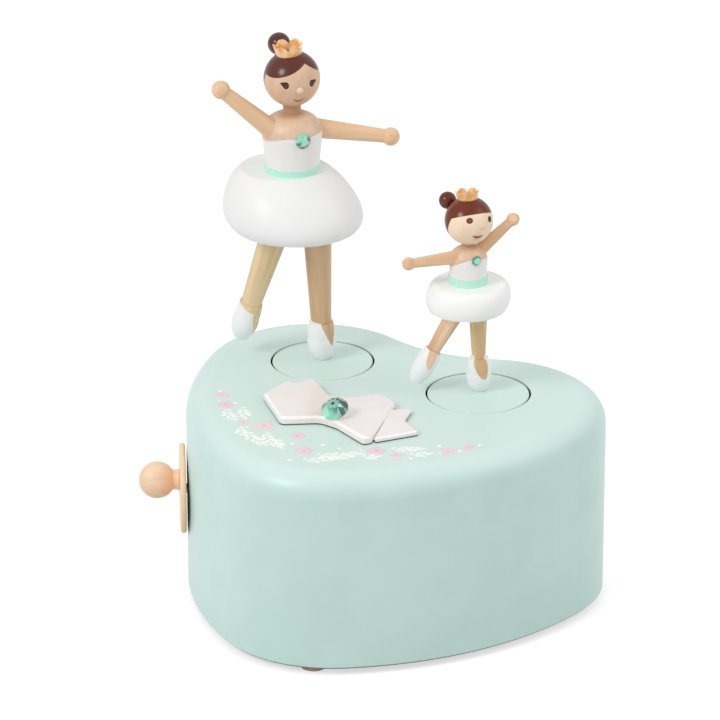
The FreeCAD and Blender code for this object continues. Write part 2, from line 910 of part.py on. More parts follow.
cylinder_distance = pitch_radius(pinion_teeth + cylinder_teeth, cylinder_module)
cylinder_aside = math.sqrt(cylinder_distance ** 2 - cylinder_drop ** 2)
cylinder_height = crank_height - cylinder_drop
cheek_near = bush_end + thrust_gap + collar_length + frame_margin
gear_start = cheek_near + cheek_thickness + 2 * thrust_gap
gear_end = gear_start + cylinder_gear_thickness
cylinder_start = gear_end + 2 * thrust_gap
comb_width = note_count * note_pitch
cylinder_end = cylinder_start + comb_width + 2 * note_pitch
crown_pinion_start = centre_depth - crown_pitch - crown_pinion_width / 2
crown_pinion_end = crown_pinion_start + crown_pinion_width
cheek_far = crown_pinion_end + frame_margin
comb_tip = cylinder_aside + cylinder_radius + pin_height + comb_tip_gap
comb_back = comb_tip + comb_tooth_length
frame_start = cheek_near - 1
frame_end = cheek_far + cheek_thickness + 1
frame_left = -collar_radius - frame_margin
frame_right = comb_back + comb_base_depth + 1
bed_start = cylinder_start + note_pitch - 1
frame_top = cavity_floor + frame_plate_thickness
comb_bottom = cylinder_height - comb_base_thickness / 2


def block(start, end, left, right, bottom, top):
    """A box by its depths, its distances aside and its heights."""
    box = Part.makeBox(right - left, top - bottom, end - start)
    turned = on_crank_line(box, start, left, top)
    return turned


def cheek(start):
    """An upright plate that carries the crank shaft and the cylinder's arbor."""
    end = start + cheek_thickness
    foot = block(start, end, -cheek_land, cheek_reach, frame_top - 1, cylinder_height)
    around_shaft = rod(crank_shaft_radius + cheek_land / 2, start, end)
    around_arbor = rod(arbor_radius + cheek_land, start, end, cylinder_aside, cylinder_height)
    web = block(start, end, -cheek_land, crank_shaft_radius + cheek_land / 2,
                cylinder_height - 1, crank_height)
    return foot.fuse([around_shaft, around_arbor, web])


def movement_frame():
    """A cast plate with a cheek at each end and a raised bed for the comb."""
    plate = block(frame_start, frame_end, frame_left, cheek_reach + 1, cavity_floor, frame_top)
    wing = block(bed_start, frame_end, cheek_reach, frame_right, cavity_floor, frame_top)
    bed = block(bed_start, bed_start + comb_width + 2, comb_back + 1, frame_right,
                frame_top - 1, comb_bottom)
    frame = plate.fuse([wing, cheek(cheek_near), cheek(cheek_far), bed]).removeSplitter()
    cutters = [rod(crank_shaft_radius + running_gap, frame_start, frame_end),
               rod(arbor_radius + running_gap, frame_start, frame_end,
                   cylinder_aside, cylinder_height)]
    for place in frame_screw_places():
        cutters.append(upright(screw_radius + press_gap, cavity_floor, frame_top,
                               place.x, place.y))
    for place in comb_screw_places():
        cutters.append(upright(comb_screw_radius + press_gap,
                               comb_bottom - comb_screw_length, comb_bottom,
                               place.x, place.y))
    return frame.cut(cutters)


def movement_screws():
    return [countersunk_screw(p.x, p.y, body_bottom, frame_screw_length)
            for p in frame_screw_places()]


def comb_screw_places():
    aside = comb_back + comb_base_depth / 2 + 0.5
    first = cylinder_start + note_pitch
    step = comb_width / comb_screw_count
    return [along(first + step * (number + 0.5), aside, 0) for number in range(comb_screw_count)]


def comb():
    """A steel comb: a thick base and one tooth for each note."""
    first = cylinder_start + note_pitch
    top = comb_bottom + comb_base_thickness
    plate = block(first, first + comb_width, comb_back, comb_back + comb_base_depth,
                  comb_bottom, top)
    teeth = []
    for note in range(note_count):
        start = first + note * note_pitch + (note_pitch - comb_tooth_width) / 2
        teeth.append(block(start, start + comb_tooth_width, comb_tip, comb_back + 1,
                           top - comb_tooth_thickness, top))
    plate = plate.fuse(teeth).removeSplitter()
    holes = [upright(comb_screw_radius + press_gap, comb_bottom, top, p.x, p.y)
             for p in comb_screw_places()]
    return plate.cut(holes)


def comb_screws():
    screws = []
    top = comb_bottom + comb_base_thickness
    for place in comb_screw_places():
        shank = upright(comb_screw_radius, top - comb_screw_length, top, place.x, place.y)
        head = upright(comb_screw_head_radius, top, top + comb_screw_head, place.x, place.y)
        slot_width = comb_screw_radius / 2
        slot = Part.makeBox(2 * comb_screw_head_radius, slot_width, comb_screw_head / 2,
                            Vec(place.x - comb_screw_head_radius, place.y - slot_width / 2,
                                top + comb_screw_head / 2))
        screws.append(shank.fuse(head).removeSplitter().cut(slot))
    return screws


def pinned_cylinder():
    """A brass drum with a web, and pins spread over every note's track."""
    length = cylinder_end - cylinder_start
    drum = Part.makeCylinder(cylinder_radius, length)
    pocket_depth = (length - cylinder_web) / 2
    pocket = Part.makeCylinder(cylinder_radius - cylinder_rim, pocket_depth)
    pocket = pocket.cut(Part.makeCylinder(cylinder_hub_radius, pocket_depth))
    far_pocket = pocket.translated(Vec(0, 0, length - pocket_depth))
    bore = Part.makeCylinder(arbor_radius + press_gap, length)
    drum = drum.cut([pocket, far_pocket, bore])
    golden_turn = 137.5
    pins = []
    for note in range(note_count):
        z = note_pitch * (note + 1.5)
        for number in range(pins_per_note):
            angle = golden_turn * (note * pins_per_note + number)
            start = direction(angle) * (cylinder_radius - cylinder_rim / 2) + Vec(0, 0, z)
            pins.append(Part.makeCylinder(pin_radius, cylinder_rim / 2 + pin_height, start,
                                          direction(angle)))
    drum = drum.fuse(pins)
    return on_crank_line(drum, cylinder_start, cylinder_aside, cylinder_height)


def cylinder_arbor():
    return rod(arbor_radius, cheek_near + 0.5, cheek_far + cheek_thickness - 0.5,
               cylinder_aside, cylinder_height)


def gear_on_line(teeth, module, start, width, bore, rotation, aside=0.0, z=crank_height):
    gear = spur_gear(teeth, module, width, bore, rotation)
    return on_crank_line(gear, start, aside, z)


cylinder_line = math.degrees(math.atan2(cylinder_drop, cylinder_aside))


def cylinder_pinion():
    return gear_on_line(pinion_teeth, cylinder_module, gear_start, cylinder_gear_thickness,
                        crank_shaft_radius + press_gap, cylinder_line)


def cylinder_gear():
    rotation = meshed(cylinder_line, pinion_teeth, cylinder_teeth, cylinder_line)
    return gear_on_line(cylinder_teeth, cylinder_module, gear_start, cylinder_gear_thickness,
                        arbor_radius + press_gap, rotation, cylinder_aside, cylinder_height)


def crown_pinion():
    upwards = -90
    return gear_on_line(pinion_teeth, crown_module, crown_pinion_start, crown_pinion_width,
                        crank_shaft_radius + press_gap, upwards)


# Dancers: each is built about its disc's axis, with +X to its viewer's right and +Z up

large = SimpleNamespace(
    axis_x=large_axis_x,
    face=large_face,
    stand_toe=Vec(large_stand_toe_x, large_stand_toe_y, 0),
    stand_hip=Vec(large_stand_hip_x, 0, large_hem_height + large_stand_hip_depth),
    free_toe=Vec(large_free_toe_x, large_free_toe_y, large_free_toe_z),
    free_hip=Vec(large_free_hip_x, large_free_hip_y, large_hem_height + large_free_hip_depth),
    hip_radius=large_hip_radius,
    ankle_radius=large_ankle_radius,
    ankle_height=large_ankle_height,
    foot_radius=large_foot_radius,
    free_foot_radius=large_free_foot_radius,
    toe_radius=large_toe_radius,
    hem_height=large_hem_height,
    hem_radius=large_hem_radius,
    wide_x=large_wide_x,
    wide_height=large_hem_height + large_wide_rise,
    wide_radius=large_wide_radius,
    waist_height=large_waist_height,
    skirt_top_radius=large_skirt_top_radius,
    skirt_power=large_skirt_power,
    skirt_lean=large_skirt_lean,
    skirt_lean_angle=large_skirt_lean_angle,
    waist_radius=large_waist_radius,
    chest_radius=large_chest_radius,
    chest_height=large_waist_height + large_chest_rise,
    shoulder_height=large_shoulder_height,
    neck_radius=large_neck_radius,
    head_height=large_shoulder_height + large_neck_length + large_head_radius,
    head_radius=large_head_radius,
    nose_radius=large_nose_radius,
    nose_rise=large_nose_rise,
    bun_radius=large_bun_radius,
    bun_back=large_bun_back,
    bun_side=large_bun_side,
    bun_up=large_bun_up,
    crown_base=large_crown_base,
    crown_flare=large_crown_flare,
    crown_height=large_crown_height,
    crown_wall=large_crown_wall,
    crown_tilt=large_crown_tilt,
    crown_lean_angle=large_crown_lean_angle,
    belt_height=large_belt_height,
    belt_thickness=large_belt_thickness,
    gem_radius=large_gem_radius,
    gem_height=large_gem_height,
    gem_level=large_waist_height + large_gem_rise,
    gem_turn=large_gem_turn,
    arm_radius=large_arm_radius,
    wrist_radius=large_wrist_radius,
    hand_radius=large_hand_radius,
    raised_shoulder=Vec(large_axis_x + large_raised_shoulder_x, large_raised_shoulder_y,
                        large_shoulder_height - large_raised_shoulder_drop),
    raised_reach=Vec(large_raised_reach_x, large_raised_reach_y, large_raised_reach_z),
    level_shoulder=Vec(large_axis_x + large_level_shoulder_x, large_level_shoulder_y,
                       large_shoulder_height - large_level_shoulder_drop),
    level_reach=Vec(large_level_reach_x, large_level_reach_y, large_level_reach_z),
)

small = SimpleNamespace(
    axis_x=small_axis_x,
    face=small_face,
    stand_toe=Vec(small_stand_toe_x, small_stand_toe_y, 0),
    stand_hip=Vec(small_stand_hip_x, 0, small_hem_height + small_stand_hip_depth),
    free_toe=Vec(small_free_toe_x, small_free_toe_y, small_free_toe_z),
    free_hip=Vec(small_free_hip_x, small_free_hip_y, small_hem_height + small_free_hip_depth),
    hip_radius=small_hip_radius,
    ankle_radius=small_ankle_radius,
    ankle_height=small_ankle_height,
    foot_radius=small_foot_radius,
    free_foot_radius=small_free_foot_radius,
    toe_radius=small_toe_radius,
    hem_height=small_hem_height,
    hem_radius=small_hem_radius,
    wide_x=small_wide_x,
    wide_height=small_hem_height + small_wide_rise,
    wide_radius=small_wide_radius,
    waist_height=small_waist_height,
    skirt_top_radius=small_skirt_top_radius,
    skirt_power=small_skirt_power,
    skirt_lean=small_skirt_lean,
    skirt_lean_angle=small_skirt_lean_angle,
    waist_radius=small_waist_radius,
    chest_radius=small_chest_radius,
    chest_height=small_waist_height + small_chest_rise,
    shoulder_height=small_shoulder_height,
    neck_radius=small_neck_radius,
    head_height=small_shoulder_height + small_neck_length + small_head_radius,
    head_radius=small_head_radius,
    nose_radius=small_nose_radius,
    nose_rise=small_nose_rise,
    bun_radius=small_bun_radius,
    bun_back=small_bun_back,
    bun_side=small_bun_side,
    bun_up=small_bun_up,
    crown_base=small_crown_base,
    crown_flare=small_crown_flare,
    crown_height=small_crown_height,
    crown_wall=small_crown_wall,
    crown_tilt=small_crown_tilt,
    crown_lean_angle=small_crown_lean_angle,
    belt_height=small_belt_height,
    belt_thickness=small_belt_thickness,
    gem_radius=small_gem_radius,
    gem_height=small_gem_height,
    gem_level=small_waist_height + small_gem_rise,
    gem_turn=small_gem_turn,
    arm_radius=small_arm_radius,
    wrist_radius=small_wrist_radius,
    hand_radius=small_hand_radius,
    raised_shoulder=Vec(small_axis_x + small_raised_shoulder_x, small_raised_shoulder_y,
                        small_shoulder_height - small_raised_shoulder_drop),
    raised_reach=Vec(small_raised_reach_x, small_raised_reach_y, small_raised_reach_z),
    level_shoulder=Vec(small_axis_x + small_level_shoulder_x, small_level_shoulder_y,
                       small_shoulder_height - small_level_shoulder_drop),
    level_reach=Vec(small_level_reach_x, small_level_reach_y, small_level_reach_z),
)


def on_axis(d, z):
    """A point on the line that a dancer's head, torso and skirt are turned about."""
    return Vec(d.axis_x, 0, z)


def facing(turn):
    """Direction that a dancer looks in, turned to its viewer's right."""
    return direction(turn - 90)


def between(shape, start, end):
    """Move a shape built up the Z axis so that it runs from start towards end."""
    return placed(shape, start, FreeCAD.Rotation(UP, end - start))


def turned_leg(d, length, foot_radius):
    """A turned leg: blunt toe, foot bulb, a step at the ankle, then a taper to the hip."""
    bulb = d.ankle_height * 0.6
    instep = d.ankle_radius + (foot_radius - d.ankle_radius) * 0.45
    profile = Part.Wire([
        Part.makeLine(at(0, 0), at(d.toe_radius, 0)),
        Part.Arc(at(d.toe_radius, 0), at(foot_radius * 0.9, bulb * 0.34),
                 at(foot_radius, bulb)).toShape(),
        Part.Arc(at(foot_radius, bulb), at(foot_radius * 0.97, (bulb + d.ankle_height) / 2),
                 at(instep, d.ankle_height)).toShape(),
        Part.makeLine(at(instep, d.ankle_height), at(d.ankle_radius, d.ankle_height)),
        Part.makeLine(at(d.ankle_radius, d.ankle_height), at(d.hip_radius, length)),
        Part.makeLine(at(d.hip_radius, length), at(0, length)),
        Part.makeLine(at(0, length), at(0, 0)),
    ])
    return revolved(profile)


def standing_leg(d):
    """The leg that stands on the disc, its sole cut level, with a peg under it."""
    leg = turned_leg(d, (d.stand_hip - d.stand_toe).Length, d.foot_radius)
    leg = between(leg, d.stand_toe, d.stand_hip)
    corner = d.stand_toe - Vec(2, 2, 1) * d.foot_radius
    sole = Part.makeBox(4 * d.foot_radius, 4 * d.foot_radius, d.foot_radius, corner)
    peg = Part.makeCylinder(sole_peg_radius, sole_peg_length, d.stand_toe, -UP)
    return leg.cut(sole).fuse(peg).removeSplitter()


def free_leg(d):
    leg = turned_leg(d, (d.free_hip - d.free_toe).Length, d.free_foot_radius)
    return between(leg, d.free_toe, d.free_hip)


def leg_socket(d, start, end):
    """A straight hole in the skirt for a leg's upper end."""
    length = (end - start).Length + press_gap
    return between(Part.makeCylinder(d.hip_radius + press_gap, length), start, end)


def skirt(d):
    """A wooden tutu: a round bell, sheared so that its waist sits a little to one side."""
    rise = d.waist_height - d.wide_height
    spread = d.wide_radius - d.skirt_top_radius
    points = [at(d.hem_radius, d.hem_height), at(d.wide_radius, d.wide_height)]
    for angle in (22.5, 45, 67.5, 90):
        turn = math.radians(angle)
        fullness = abs(math.cos(turn)) ** (2 * d.skirt_power)
        points.append(at(d.skirt_top_radius + spread * fullness,
                         d.wide_height + rise * math.sin(turn)))
    side = Part.BSplineCurve()
    side.interpolate(points)
    profile = Part.Wire([
        side.toShape(),
        Part.makeLine(points[-1], at(0, d.waist_height)),
        Part.makeLine(at(0, d.waist_height), at(0, d.hem_height)),
        Part.makeLine(at(0, d.hem_height), points[0]),
    ])
    lean = direction(d.skirt_lean_angle) * (d.skirt_lean / rise)
    shear = FreeCAD.Matrix()
    shear.A13 = lean.x
    shear.A14 = d.wide_x - lean.x * d.wide_height
    shear.A23 = lean.y
    shear.A24 = -lean.y * d.wide_height
    bell = revolved(profile).transformGeometry(shear)
    peg = Part.makeCylinder(peg_radius + press_gap, peg_length + press_gap,
                            on_axis(d, d.waist_height - peg_length - press_gap))
    return bell.cut([peg, leg_socket(d, d.stand_toe, d.stand_hip),
                     leg_socket(d, d.free_toe, d.free_hip)])


def torso(d):
    """A turned torso: waist, chest, domed shoulders and a neck, with a peg at each end."""
    waist = d.waist_height
    neck_top = d.head_height
    profile = Part.Wire([
        Part.makeLine(at(0, waist - peg_length), at(peg_radius, waist - peg_length)),
        Part.makeLine(at(peg_radius, waist - peg_length), at(peg_radius, waist)),
        Part.makeLine(at(peg_radius, waist), at(d.waist_radius, waist)),
        Part.makeLine(at(d.waist_radius, waist), at(d.chest_radius, d.chest_height)),
        Part.Arc(at(d.chest_radius, d.chest_height), shoulder_middle(d),
                 at(d.neck_radius, d.shoulder_height)).toShape(),
        Part.makeLine(at(d.neck_radius, d.shoulder_height), at(d.neck_radius, neck_top)),
        Part.makeLine(at(d.neck_radius, neck_top), at(0, neck_top)),
        Part.makeLine(at(0, neck_top), at(0, waist - peg_length)),
    ])
    return revolved(profile).translated(on_axis(d, 0))


def shoulder_middle(d):
    """A point of the shoulder's dome, on a quarter ellipse from the chest to the neck."""
    span = d.chest_radius - d.neck_radius
    rise = d.shoulder_height - d.chest_height
    return at(d.neck_radius + span * 0.76, d.chest_height + rise * 0.68)


def belt(d):
    top = d.waist_height + d.belt_height
    slope = (d.chest_radius - d.waist_radius) / (d.chest_height - d.waist_height)
    top_radius = d.waist_radius + slope * d.belt_height
    outer = Part.makeCone(d.waist_radius + d.belt_thickness, top_radius + d.belt_thickness,
                          d.belt_height, on_axis(d, d.waist_height))
    inner = Part.makeCone(d.waist_radius + press_gap, top_radius + press_gap, d.belt_height,
                          on_axis(d, d.waist_height))
    edges = [e for e in outer.Edges if abs(e.BoundBox.ZMax - top) < press_gap
             and abs(e.BoundBox.ZMin - top) < press_gap]
    return outer.makeFillet(d.belt_thickness / 2, edges).cut(inner)


def head_ball(d, gap):
    return Part.makeSphere(d.head_radius + gap, on_axis(d, d.head_height))


def head(d):
    socket = Part.makeCylinder(d.neck_radius + press_gap, d.head_radius + press_gap,
                               on_axis(d, d.head_height - d.head_radius))
    return head_ball(d, 0).cut(socket)


def nose(d):
    reach = math.sqrt(d.head_radius ** 2 - d.nose_rise ** 2)
    place = on_axis(d, d.head_height + d.nose_rise) + facing(d.face) * reach
    return Part.makeSphere(d.nose_radius, place).cut(head_ball(d, 0))


def bun(d):
    back = facing(d.face) * -d.bun_back
    side = facing(d.face - 90) * d.bun_side
    place = on_axis(d, d.head_height + d.bun_up) + back + side
    return Part.makeSphere(d.bun_radius, place).cut(head_ball(d, 0))


def crown(d):
    """A flared ring with round-headed points that sits on the head, tipped to one side."""
    seat = math.sqrt(d.head_radius ** 2 - d.crown_base ** 2)
    low = seat - d.crown_wall
    high = seat + d.crown_height
    flare = d.crown_flare
    profile = Part.makePolygon([
        at(d.crown_base, low), at(d.crown_base + flare, high),
        at(d.crown_base + flare - d.crown_wall, high), at(d.crown_base - d.crown_wall, low),
        at(d.crown_base, low)])
    band = revolved(profile)
    notch_depth = d.crown_height * 0.48
    reach = d.crown_base + flare + 1
    half = (d.crown_base + flare) * math.sin(math.pi / crown_point_count)
    foot = Vec(-reach, 0, high - notch_depth)
    cutters = []
    for number in range(crown_point_count // 2):
        sides = [Part.Arc(foot, Vec(-reach, side * half * 0.42, high - notch_depth * 0.28),
                          Vec(-reach, side * half, high + rub_gap)).toShape()
                 for side in (1, -1)]
        lid = Part.makeLine(Vec(-reach, half, high + rub_gap), Vec(-reach, -half, high + rub_gap))
        notch = Part.Wire([sides[0], lid, sides[1]])
        cutter = Part.Face(notch).extrude(Vec(2 * reach, 0, 0))
        cutter.rotate(Vec(), UP, (number + 0.5) * 360 / crown_point_count)
        cutters.append(cutter)
    band = band.cut(cutters).cut(Part.makeSphere(d.head_radius))
    band.rotate(Vec(), UP.cross(direction(d.crown_lean_angle)), d.crown_tilt)
    return band.translated(on_axis(d, d.head_height))


def chest_gem(d):
    """A cut stone set on the chest, its back just under the surface."""
    share = (d.gem_level - d.waist_height) / (d.chest_height - d.waist_height)
    surface = d.waist_radius + (d.chest_radius - d.waist_radius) * min(share, 1.0)
    out = facing(d.gem_turn)
    sink = surface - math.sqrt(surface ** 2 - d.gem_radius ** 2)
    start = on_axis(d, d.gem_level) + out * (surface - sink)
    stone = between(cut_stone(d.gem_radius, d.gem_height + sink), start, start + out)
    return stone.cut(torso(d))


def arm(d, shoulder, reach):
    """A turned arm that tapers from the shoulder to the wrist and ends in a round hand."""
    length = reach.Length
    grip = math.sqrt(d.hand_radius ** 2 - d.wrist_radius ** 2)
    profile = Part.Wire([
        Part.makeLine(at(0, 0), at(d.arm_radius, 0)),
        Part.makeLine(at(d.arm_radius, 0), at(d.wrist_radius, length - grip)),
        Part.Arc(at(d.wrist_radius, length - grip), at(d.hand_radius, length),
                 at(0, length + d.hand_radius)).toShape(),
        Part.makeLine(at(0, length + d.hand_radius), at(0, 0)),
    ])
    return between(revolved(profile), shoulder, shoulder + reach).cut(torso(d))


def dancer_pieces(prefix, d, disc):
    pieces = {
        "standing_leg": standing_leg(d),
        "free_leg": free_leg(d),
        "skirt": skirt(d),
        "torso": torso(d),
        "belt": belt(d),
        "chest_gem": chest_gem(d),
        "raised_arm": arm(d, d.raised_shoulder, d.raised_reach),
        "level_arm": arm(d, d.level_shoulder, d.level_reach),
        "head": head(d),
        "nose": nose(d),
        "bun": bun(d),
        "crown": crown(d),
    }
    turn = FreeCAD.Rotation(UP, figure_turn)
    stand = Vec(disc.x, disc.y, body_top)
    return {prefix + "_" + name: placed(shape, stand, turn) for name, shape in pieces.items()}


def turntable_pieces(side, disc, dancer):
    return {
        side + "_disc": turning_disc(disc, dancer),
        side + "_spindle": spindle(disc),
        side + "_gear": disc_gear(disc),
        side + "_clip": spindle_clip(disc),
        side + "_bush": spindle_bush(disc),
    }


def all_pieces():
    pieces = {
        "body_shell": body_shell(),
        "bottom_board": bottom_board(),
        "board_screws": board_screws(),
        "foot_pads": foot_pads(),
        "bow": bow(),
        "bow_gem": bow_gem(),
        "crank_bush": crank_bush(),
        "crank_plate": crank_plate(),
        "crank_shaft": crank_shaft(),
        "crank_collar": crank_collar(),
        "crank_knob": crank_knob(),
        "knob_pin": knob_pin(),
        "cylinder_pinion": cylinder_pinion(),
        "crown_pinion": crown_pinion(),
        "crown_wheel": crown_wheel(),
        "drive_gear": drive_gear(),
        "centre_post": centre_post(),
        "post_clip": post_clip(),
        "movement_frame": movement_frame(),
        "movement_screws": movement_screws(),
        "comb": comb(),
        "comb_screws": comb_screws(),
        "pinned_cylinder": pinned_cylinder(),
        "cylinder_arbor": cylinder_arbor(),
        "cylinder_gear": cylinder_gear(),
    }
    pieces.update(turntable_pieces("left", left_disc, large))
    pieces.update(turntable_pieces("right", right_disc, small))
    pieces.update(dancer_pieces("large", large, left_disc))
    pieces.update(dancer_pieces("small", small, right_disc))
    return pieces


os.makedirs("parts", exist_ok=True)
for node, shape in all_pieces().items():
    if isinstance(shape, list):
        shape = Part.makeCompound(shape)
    shape.exportStep(os.path.join("parts", node + ".step"))
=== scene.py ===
import math

import bmesh
import bpy
from mathutils import Matrix, Quaternion, Vector
from mathutils.bvhtree import BVHTree


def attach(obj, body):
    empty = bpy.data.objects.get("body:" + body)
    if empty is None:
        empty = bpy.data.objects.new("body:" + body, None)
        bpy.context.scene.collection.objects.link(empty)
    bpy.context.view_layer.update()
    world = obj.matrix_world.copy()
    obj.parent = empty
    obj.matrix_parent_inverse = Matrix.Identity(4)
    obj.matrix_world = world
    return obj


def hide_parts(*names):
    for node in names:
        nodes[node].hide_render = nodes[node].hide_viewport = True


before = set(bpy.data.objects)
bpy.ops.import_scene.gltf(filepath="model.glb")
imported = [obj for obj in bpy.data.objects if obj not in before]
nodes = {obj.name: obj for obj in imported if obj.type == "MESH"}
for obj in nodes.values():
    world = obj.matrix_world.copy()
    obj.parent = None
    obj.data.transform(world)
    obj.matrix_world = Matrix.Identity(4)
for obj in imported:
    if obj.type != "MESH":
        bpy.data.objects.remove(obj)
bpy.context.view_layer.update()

MM = 0.001
UP = Vector((0, 0, 1))
ORIGIN = (0, 0, 0)


def mm(x, y, z):
    """A place given in millimetres, in Blender's metres."""
    return Vector((x, y, z)) * MM


def put(name, data):
    """A new object in the scene."""
    piece = bpy.data.objects.new(name, data)
    bpy.context.scene.collection.objects.link(piece)
    return piece


# Places and directions that the dressing shares with the solids; lengths are in millimetres

lid_top = 63.6
disc_radius = 15.3
disc_gap = 0.6
left_disc = Vector((-27.4, 0.75, lid_top))
right_disc = Vector((25.9, 0.75, lid_top))
crank_angle = math.radians(31.5)
crank_line = Vector((math.cos(crank_angle), math.sin(crank_angle), 0))

# The dancers face the photo's viewer: these point away from that viewer and to the viewer's right

figure_turn = math.radians(28.33)
away = Vector((-math.sin(figure_turn), math.cos(figure_turn), 0))
across = Vector((math.cos(figure_turn), math.sin(figure_turn), 0))


# Materials

def linear(red, green, blue):
    """A colour's usual values from 0 to 255, as the linear values that shaders take."""
    values = []
    for value in (red, green, blue):
        share = value / 255
        if share <= 0.04045:
            values.append(share / 12.92)
        else:
            values.append(((share + 0.055) / 1.055) ** 2.4)
    return (*values, 1.0)


def darker(colour, share):
    """A colour with its light cut to a share."""
    return (*(value * share for value in colour[:3]), 1.0)


def turned(axis, spin=0.0):
    """A rotation that carries +Z to an axis, after a spin about +Z in degrees."""
    lean = UP.rotation_difference(Vector(axis))
    return (lean @ Quaternion(UP, math.radians(spin))).to_euler()


class Look:
    """A procedural material: its shader, and short calls that add nodes to it."""

    def __init__(self, name, roughness, **levels):
        self.material = bpy.data.materials.new(name)
        self.material.use_nodes = True
        self.nodes = self.material.node_tree.nodes
        self.links = self.material.node_tree.links
        self.shader = self.nodes["Principled BSDF"]
        self.shader.inputs["Roughness"].default_value = roughness
        for socket, value in levels.items():
            self.shader.inputs[socket.replace("_", " ")].default_value = value
        self.point = self.nodes.new("ShaderNodeTexCoord").outputs["Object"]

    def feed(self, socket, value):
        """Link a node's output to a socket, or set a plain value on it."""
        if isinstance(value, bpy.types.NodeSocket):
            self.links.new(value, socket)
        else:
            socket.default_value = value

    def add(self, kind, inputs, output=0, **settings):
        """A new node with its inputs fed; gives one of its outputs."""
        node = self.nodes.new("ShaderNode" + kind)
        for key, value in settings.items():
            setattr(node, key, value)
        for key, value in inputs.items():
            self.feed(node.inputs[key], value)
        return node.outputs[output]

    def maths(self, operation, *values, clamp=False):
        return self.add("Math", dict(enumerate(values)), operation=operation, use_clamp=clamp)

    def local(self, place, rotation=ORIGIN, scale=(1, 1, 1), vector=None):
        """Coordinates in a frame of their own: moved, turned and measured in its scale."""
        vector = vector or self.point
        inputs = {"Vector": vector, "Location": place, "Rotation": rotation, "Scale": scale}
        return self.add("Mapping", inputs, vector_type="TEXTURE")

    def parts(self, vector):
        """The three numbers of a vector."""
        split = self.nodes.new("ShaderNodeSeparateXYZ")
        self.links.new(vector, split.inputs[0])
        return split.outputs[0], split.outputs[1], split.outputs[2]

    def noise(self, vector, scale, detail=2.0, roughness=0.5):
        inputs = {"Vector": vector, "Scale": scale, "Detail": detail, "Roughness": roughness}
        return self.add("TexNoise", inputs)

    def rise(self, value, start, end):
        """0 below start, 1 above end, and smooth between them."""
        inputs = {"Value": value, "From Min": start, "From Max": end}
        return self.add("MapRange", inputs, interpolation_type="SMOOTHSTEP")

    def below(self, height, soft=0.12):
        """1 under a height in millimetres, 0 above it."""
        z = self.parts(self.point)[2]
        return self.rise(z, (height + soft) * MM, (height - soft) * MM)

    def around(self, disc, radius):
        """1 within a radius of a disc's axis, 0 outside it."""
        x, y, z = self.parts(self.local(disc * MM, ORIGIN, (radius * MM,) * 3))
        flat = self.add("CombineXYZ", {0: x, 1: y})
        reach = self.add("VectorMath", {0: flat}, output=1, operation="LENGTH")
        return self.rise(reach, 1.001, 0.999)

    def spot(self, vector, place, rotation, scale, bend=0.0, soft=0.1):
        """A soft-edged ellipse: 1 inside, 0 outside; bend curves its long way upwards."""
        x, y, z = self.parts(self.local(place, rotation, scale, vector))
        if bend:
            curve = self.maths("MULTIPLY", self.maths("MULTIPLY", x, x), -bend)
            z = self.maths("ADD", z, curve)
        inputs = {0: x, 1: y, 2: z}
        length = self.add("VectorMath", {0: self.add("CombineXYZ", inputs)}, output=1,
                          operation="LENGTH")
        return self.rise(length, 1.0 + soft, 1.0 - soft)

    def blend(self, factor, first, second):
        return self.add("Mix", {0: factor, 6: first, 7: second}, output=2, data_type="RGBA")

    def colour(self, value):
        self.feed(self.shader.inputs["Base Color"], value)

    def cloudy(self, scale, first, second):
        """Colour that drifts between two tones in soft clouds."""
        clouds = self.noise(self.point, scale, 3)
        self.colour(self.blend(self.rise(clouds, 0.35, 0.65), first, second))

    def over(self, mask, colour):
        """Lay a painted colour over what the material has so far."""
        link = self.shader.inputs["Base Color"].links[0].from_socket
        self.colour(self.blend(mask, link, colour))

    def tint(self, mask, share, colour):
        """Lay a share of a colour over what the material has so far."""
        self.over(self.maths("MULTIPLY", mask, share), colour)

    def roughen(self, value, low, high):
        """Roughness that follows a value: low at 0, high at 1."""
        inputs = {"Value": value, "To Min": low, "To Max": high}
        self.links.new(self.add("MapRange", inputs), self.shader.inputs["Roughness"])

    def bump(self, height, strength, distance):
        inputs = {"Height": height, "Strength": strength, "Distance": distance * MM}
        self.links.new(self.add("Bump", inputs), self.shader.inputs["Normal"])

    def wear(self, on):
        """Give this material to a list of nodes."""
        for name in on:
            slots = nodes[name].data.materials
            slots.clear()
            slots.append(self.material)


def paint(name, colour, shade, roughness=0.42, grain=0.03):
    """Satin paint on wood: faint cloudy colour, and a fine skin over the grain."""
    look = Look(name, roughness, Coat_Weight=0.15, Coat_Roughness=0.25)
    look.cloudy(45, colour, shade)
    skin = look.noise(look.point, 1400, 3)
    look.roughen(skin, roughness - 0.05, roughness + 0.06)
    look.bump(skin, grain, 0.05)
    return look


def wood_tone(look, axis, light, dark, fine=1.0):
    """Colour of beech: long soft streaks, short dark flecks along the grain."""
    along = look.local(ORIGIN, turned(axis), (1, 1, 14))
    streaks = look.noise(along, 330 * fine, 3, 0.6)
    tone = look.blend(look.rise(streaks, 0.3, 0.72), light, dark)
    flecks = look.noise(look.local(ORIGIN, turned(axis), (1, 1, 7)), 1900 * fine, 2, 0.7)
    mark = look.maths("MULTIPLY", look.rise(flecks, 0.6, 0.75), 0.35)
    return look.blend(mark, tone, darker(dark, 0.62)), flecks


def bare_wood(name, axis, tones):
    """Turned beech under thin oil, with its grain along an axis."""
    look = Look(name, 0.5, Coat_Weight=0.2, Coat_Roughness=0.35)
    tone, flecks = wood_tone(look, axis, *tones)
    look.colour(tone)
    look.bump(flecks, 0.12, 0.06)
    return look


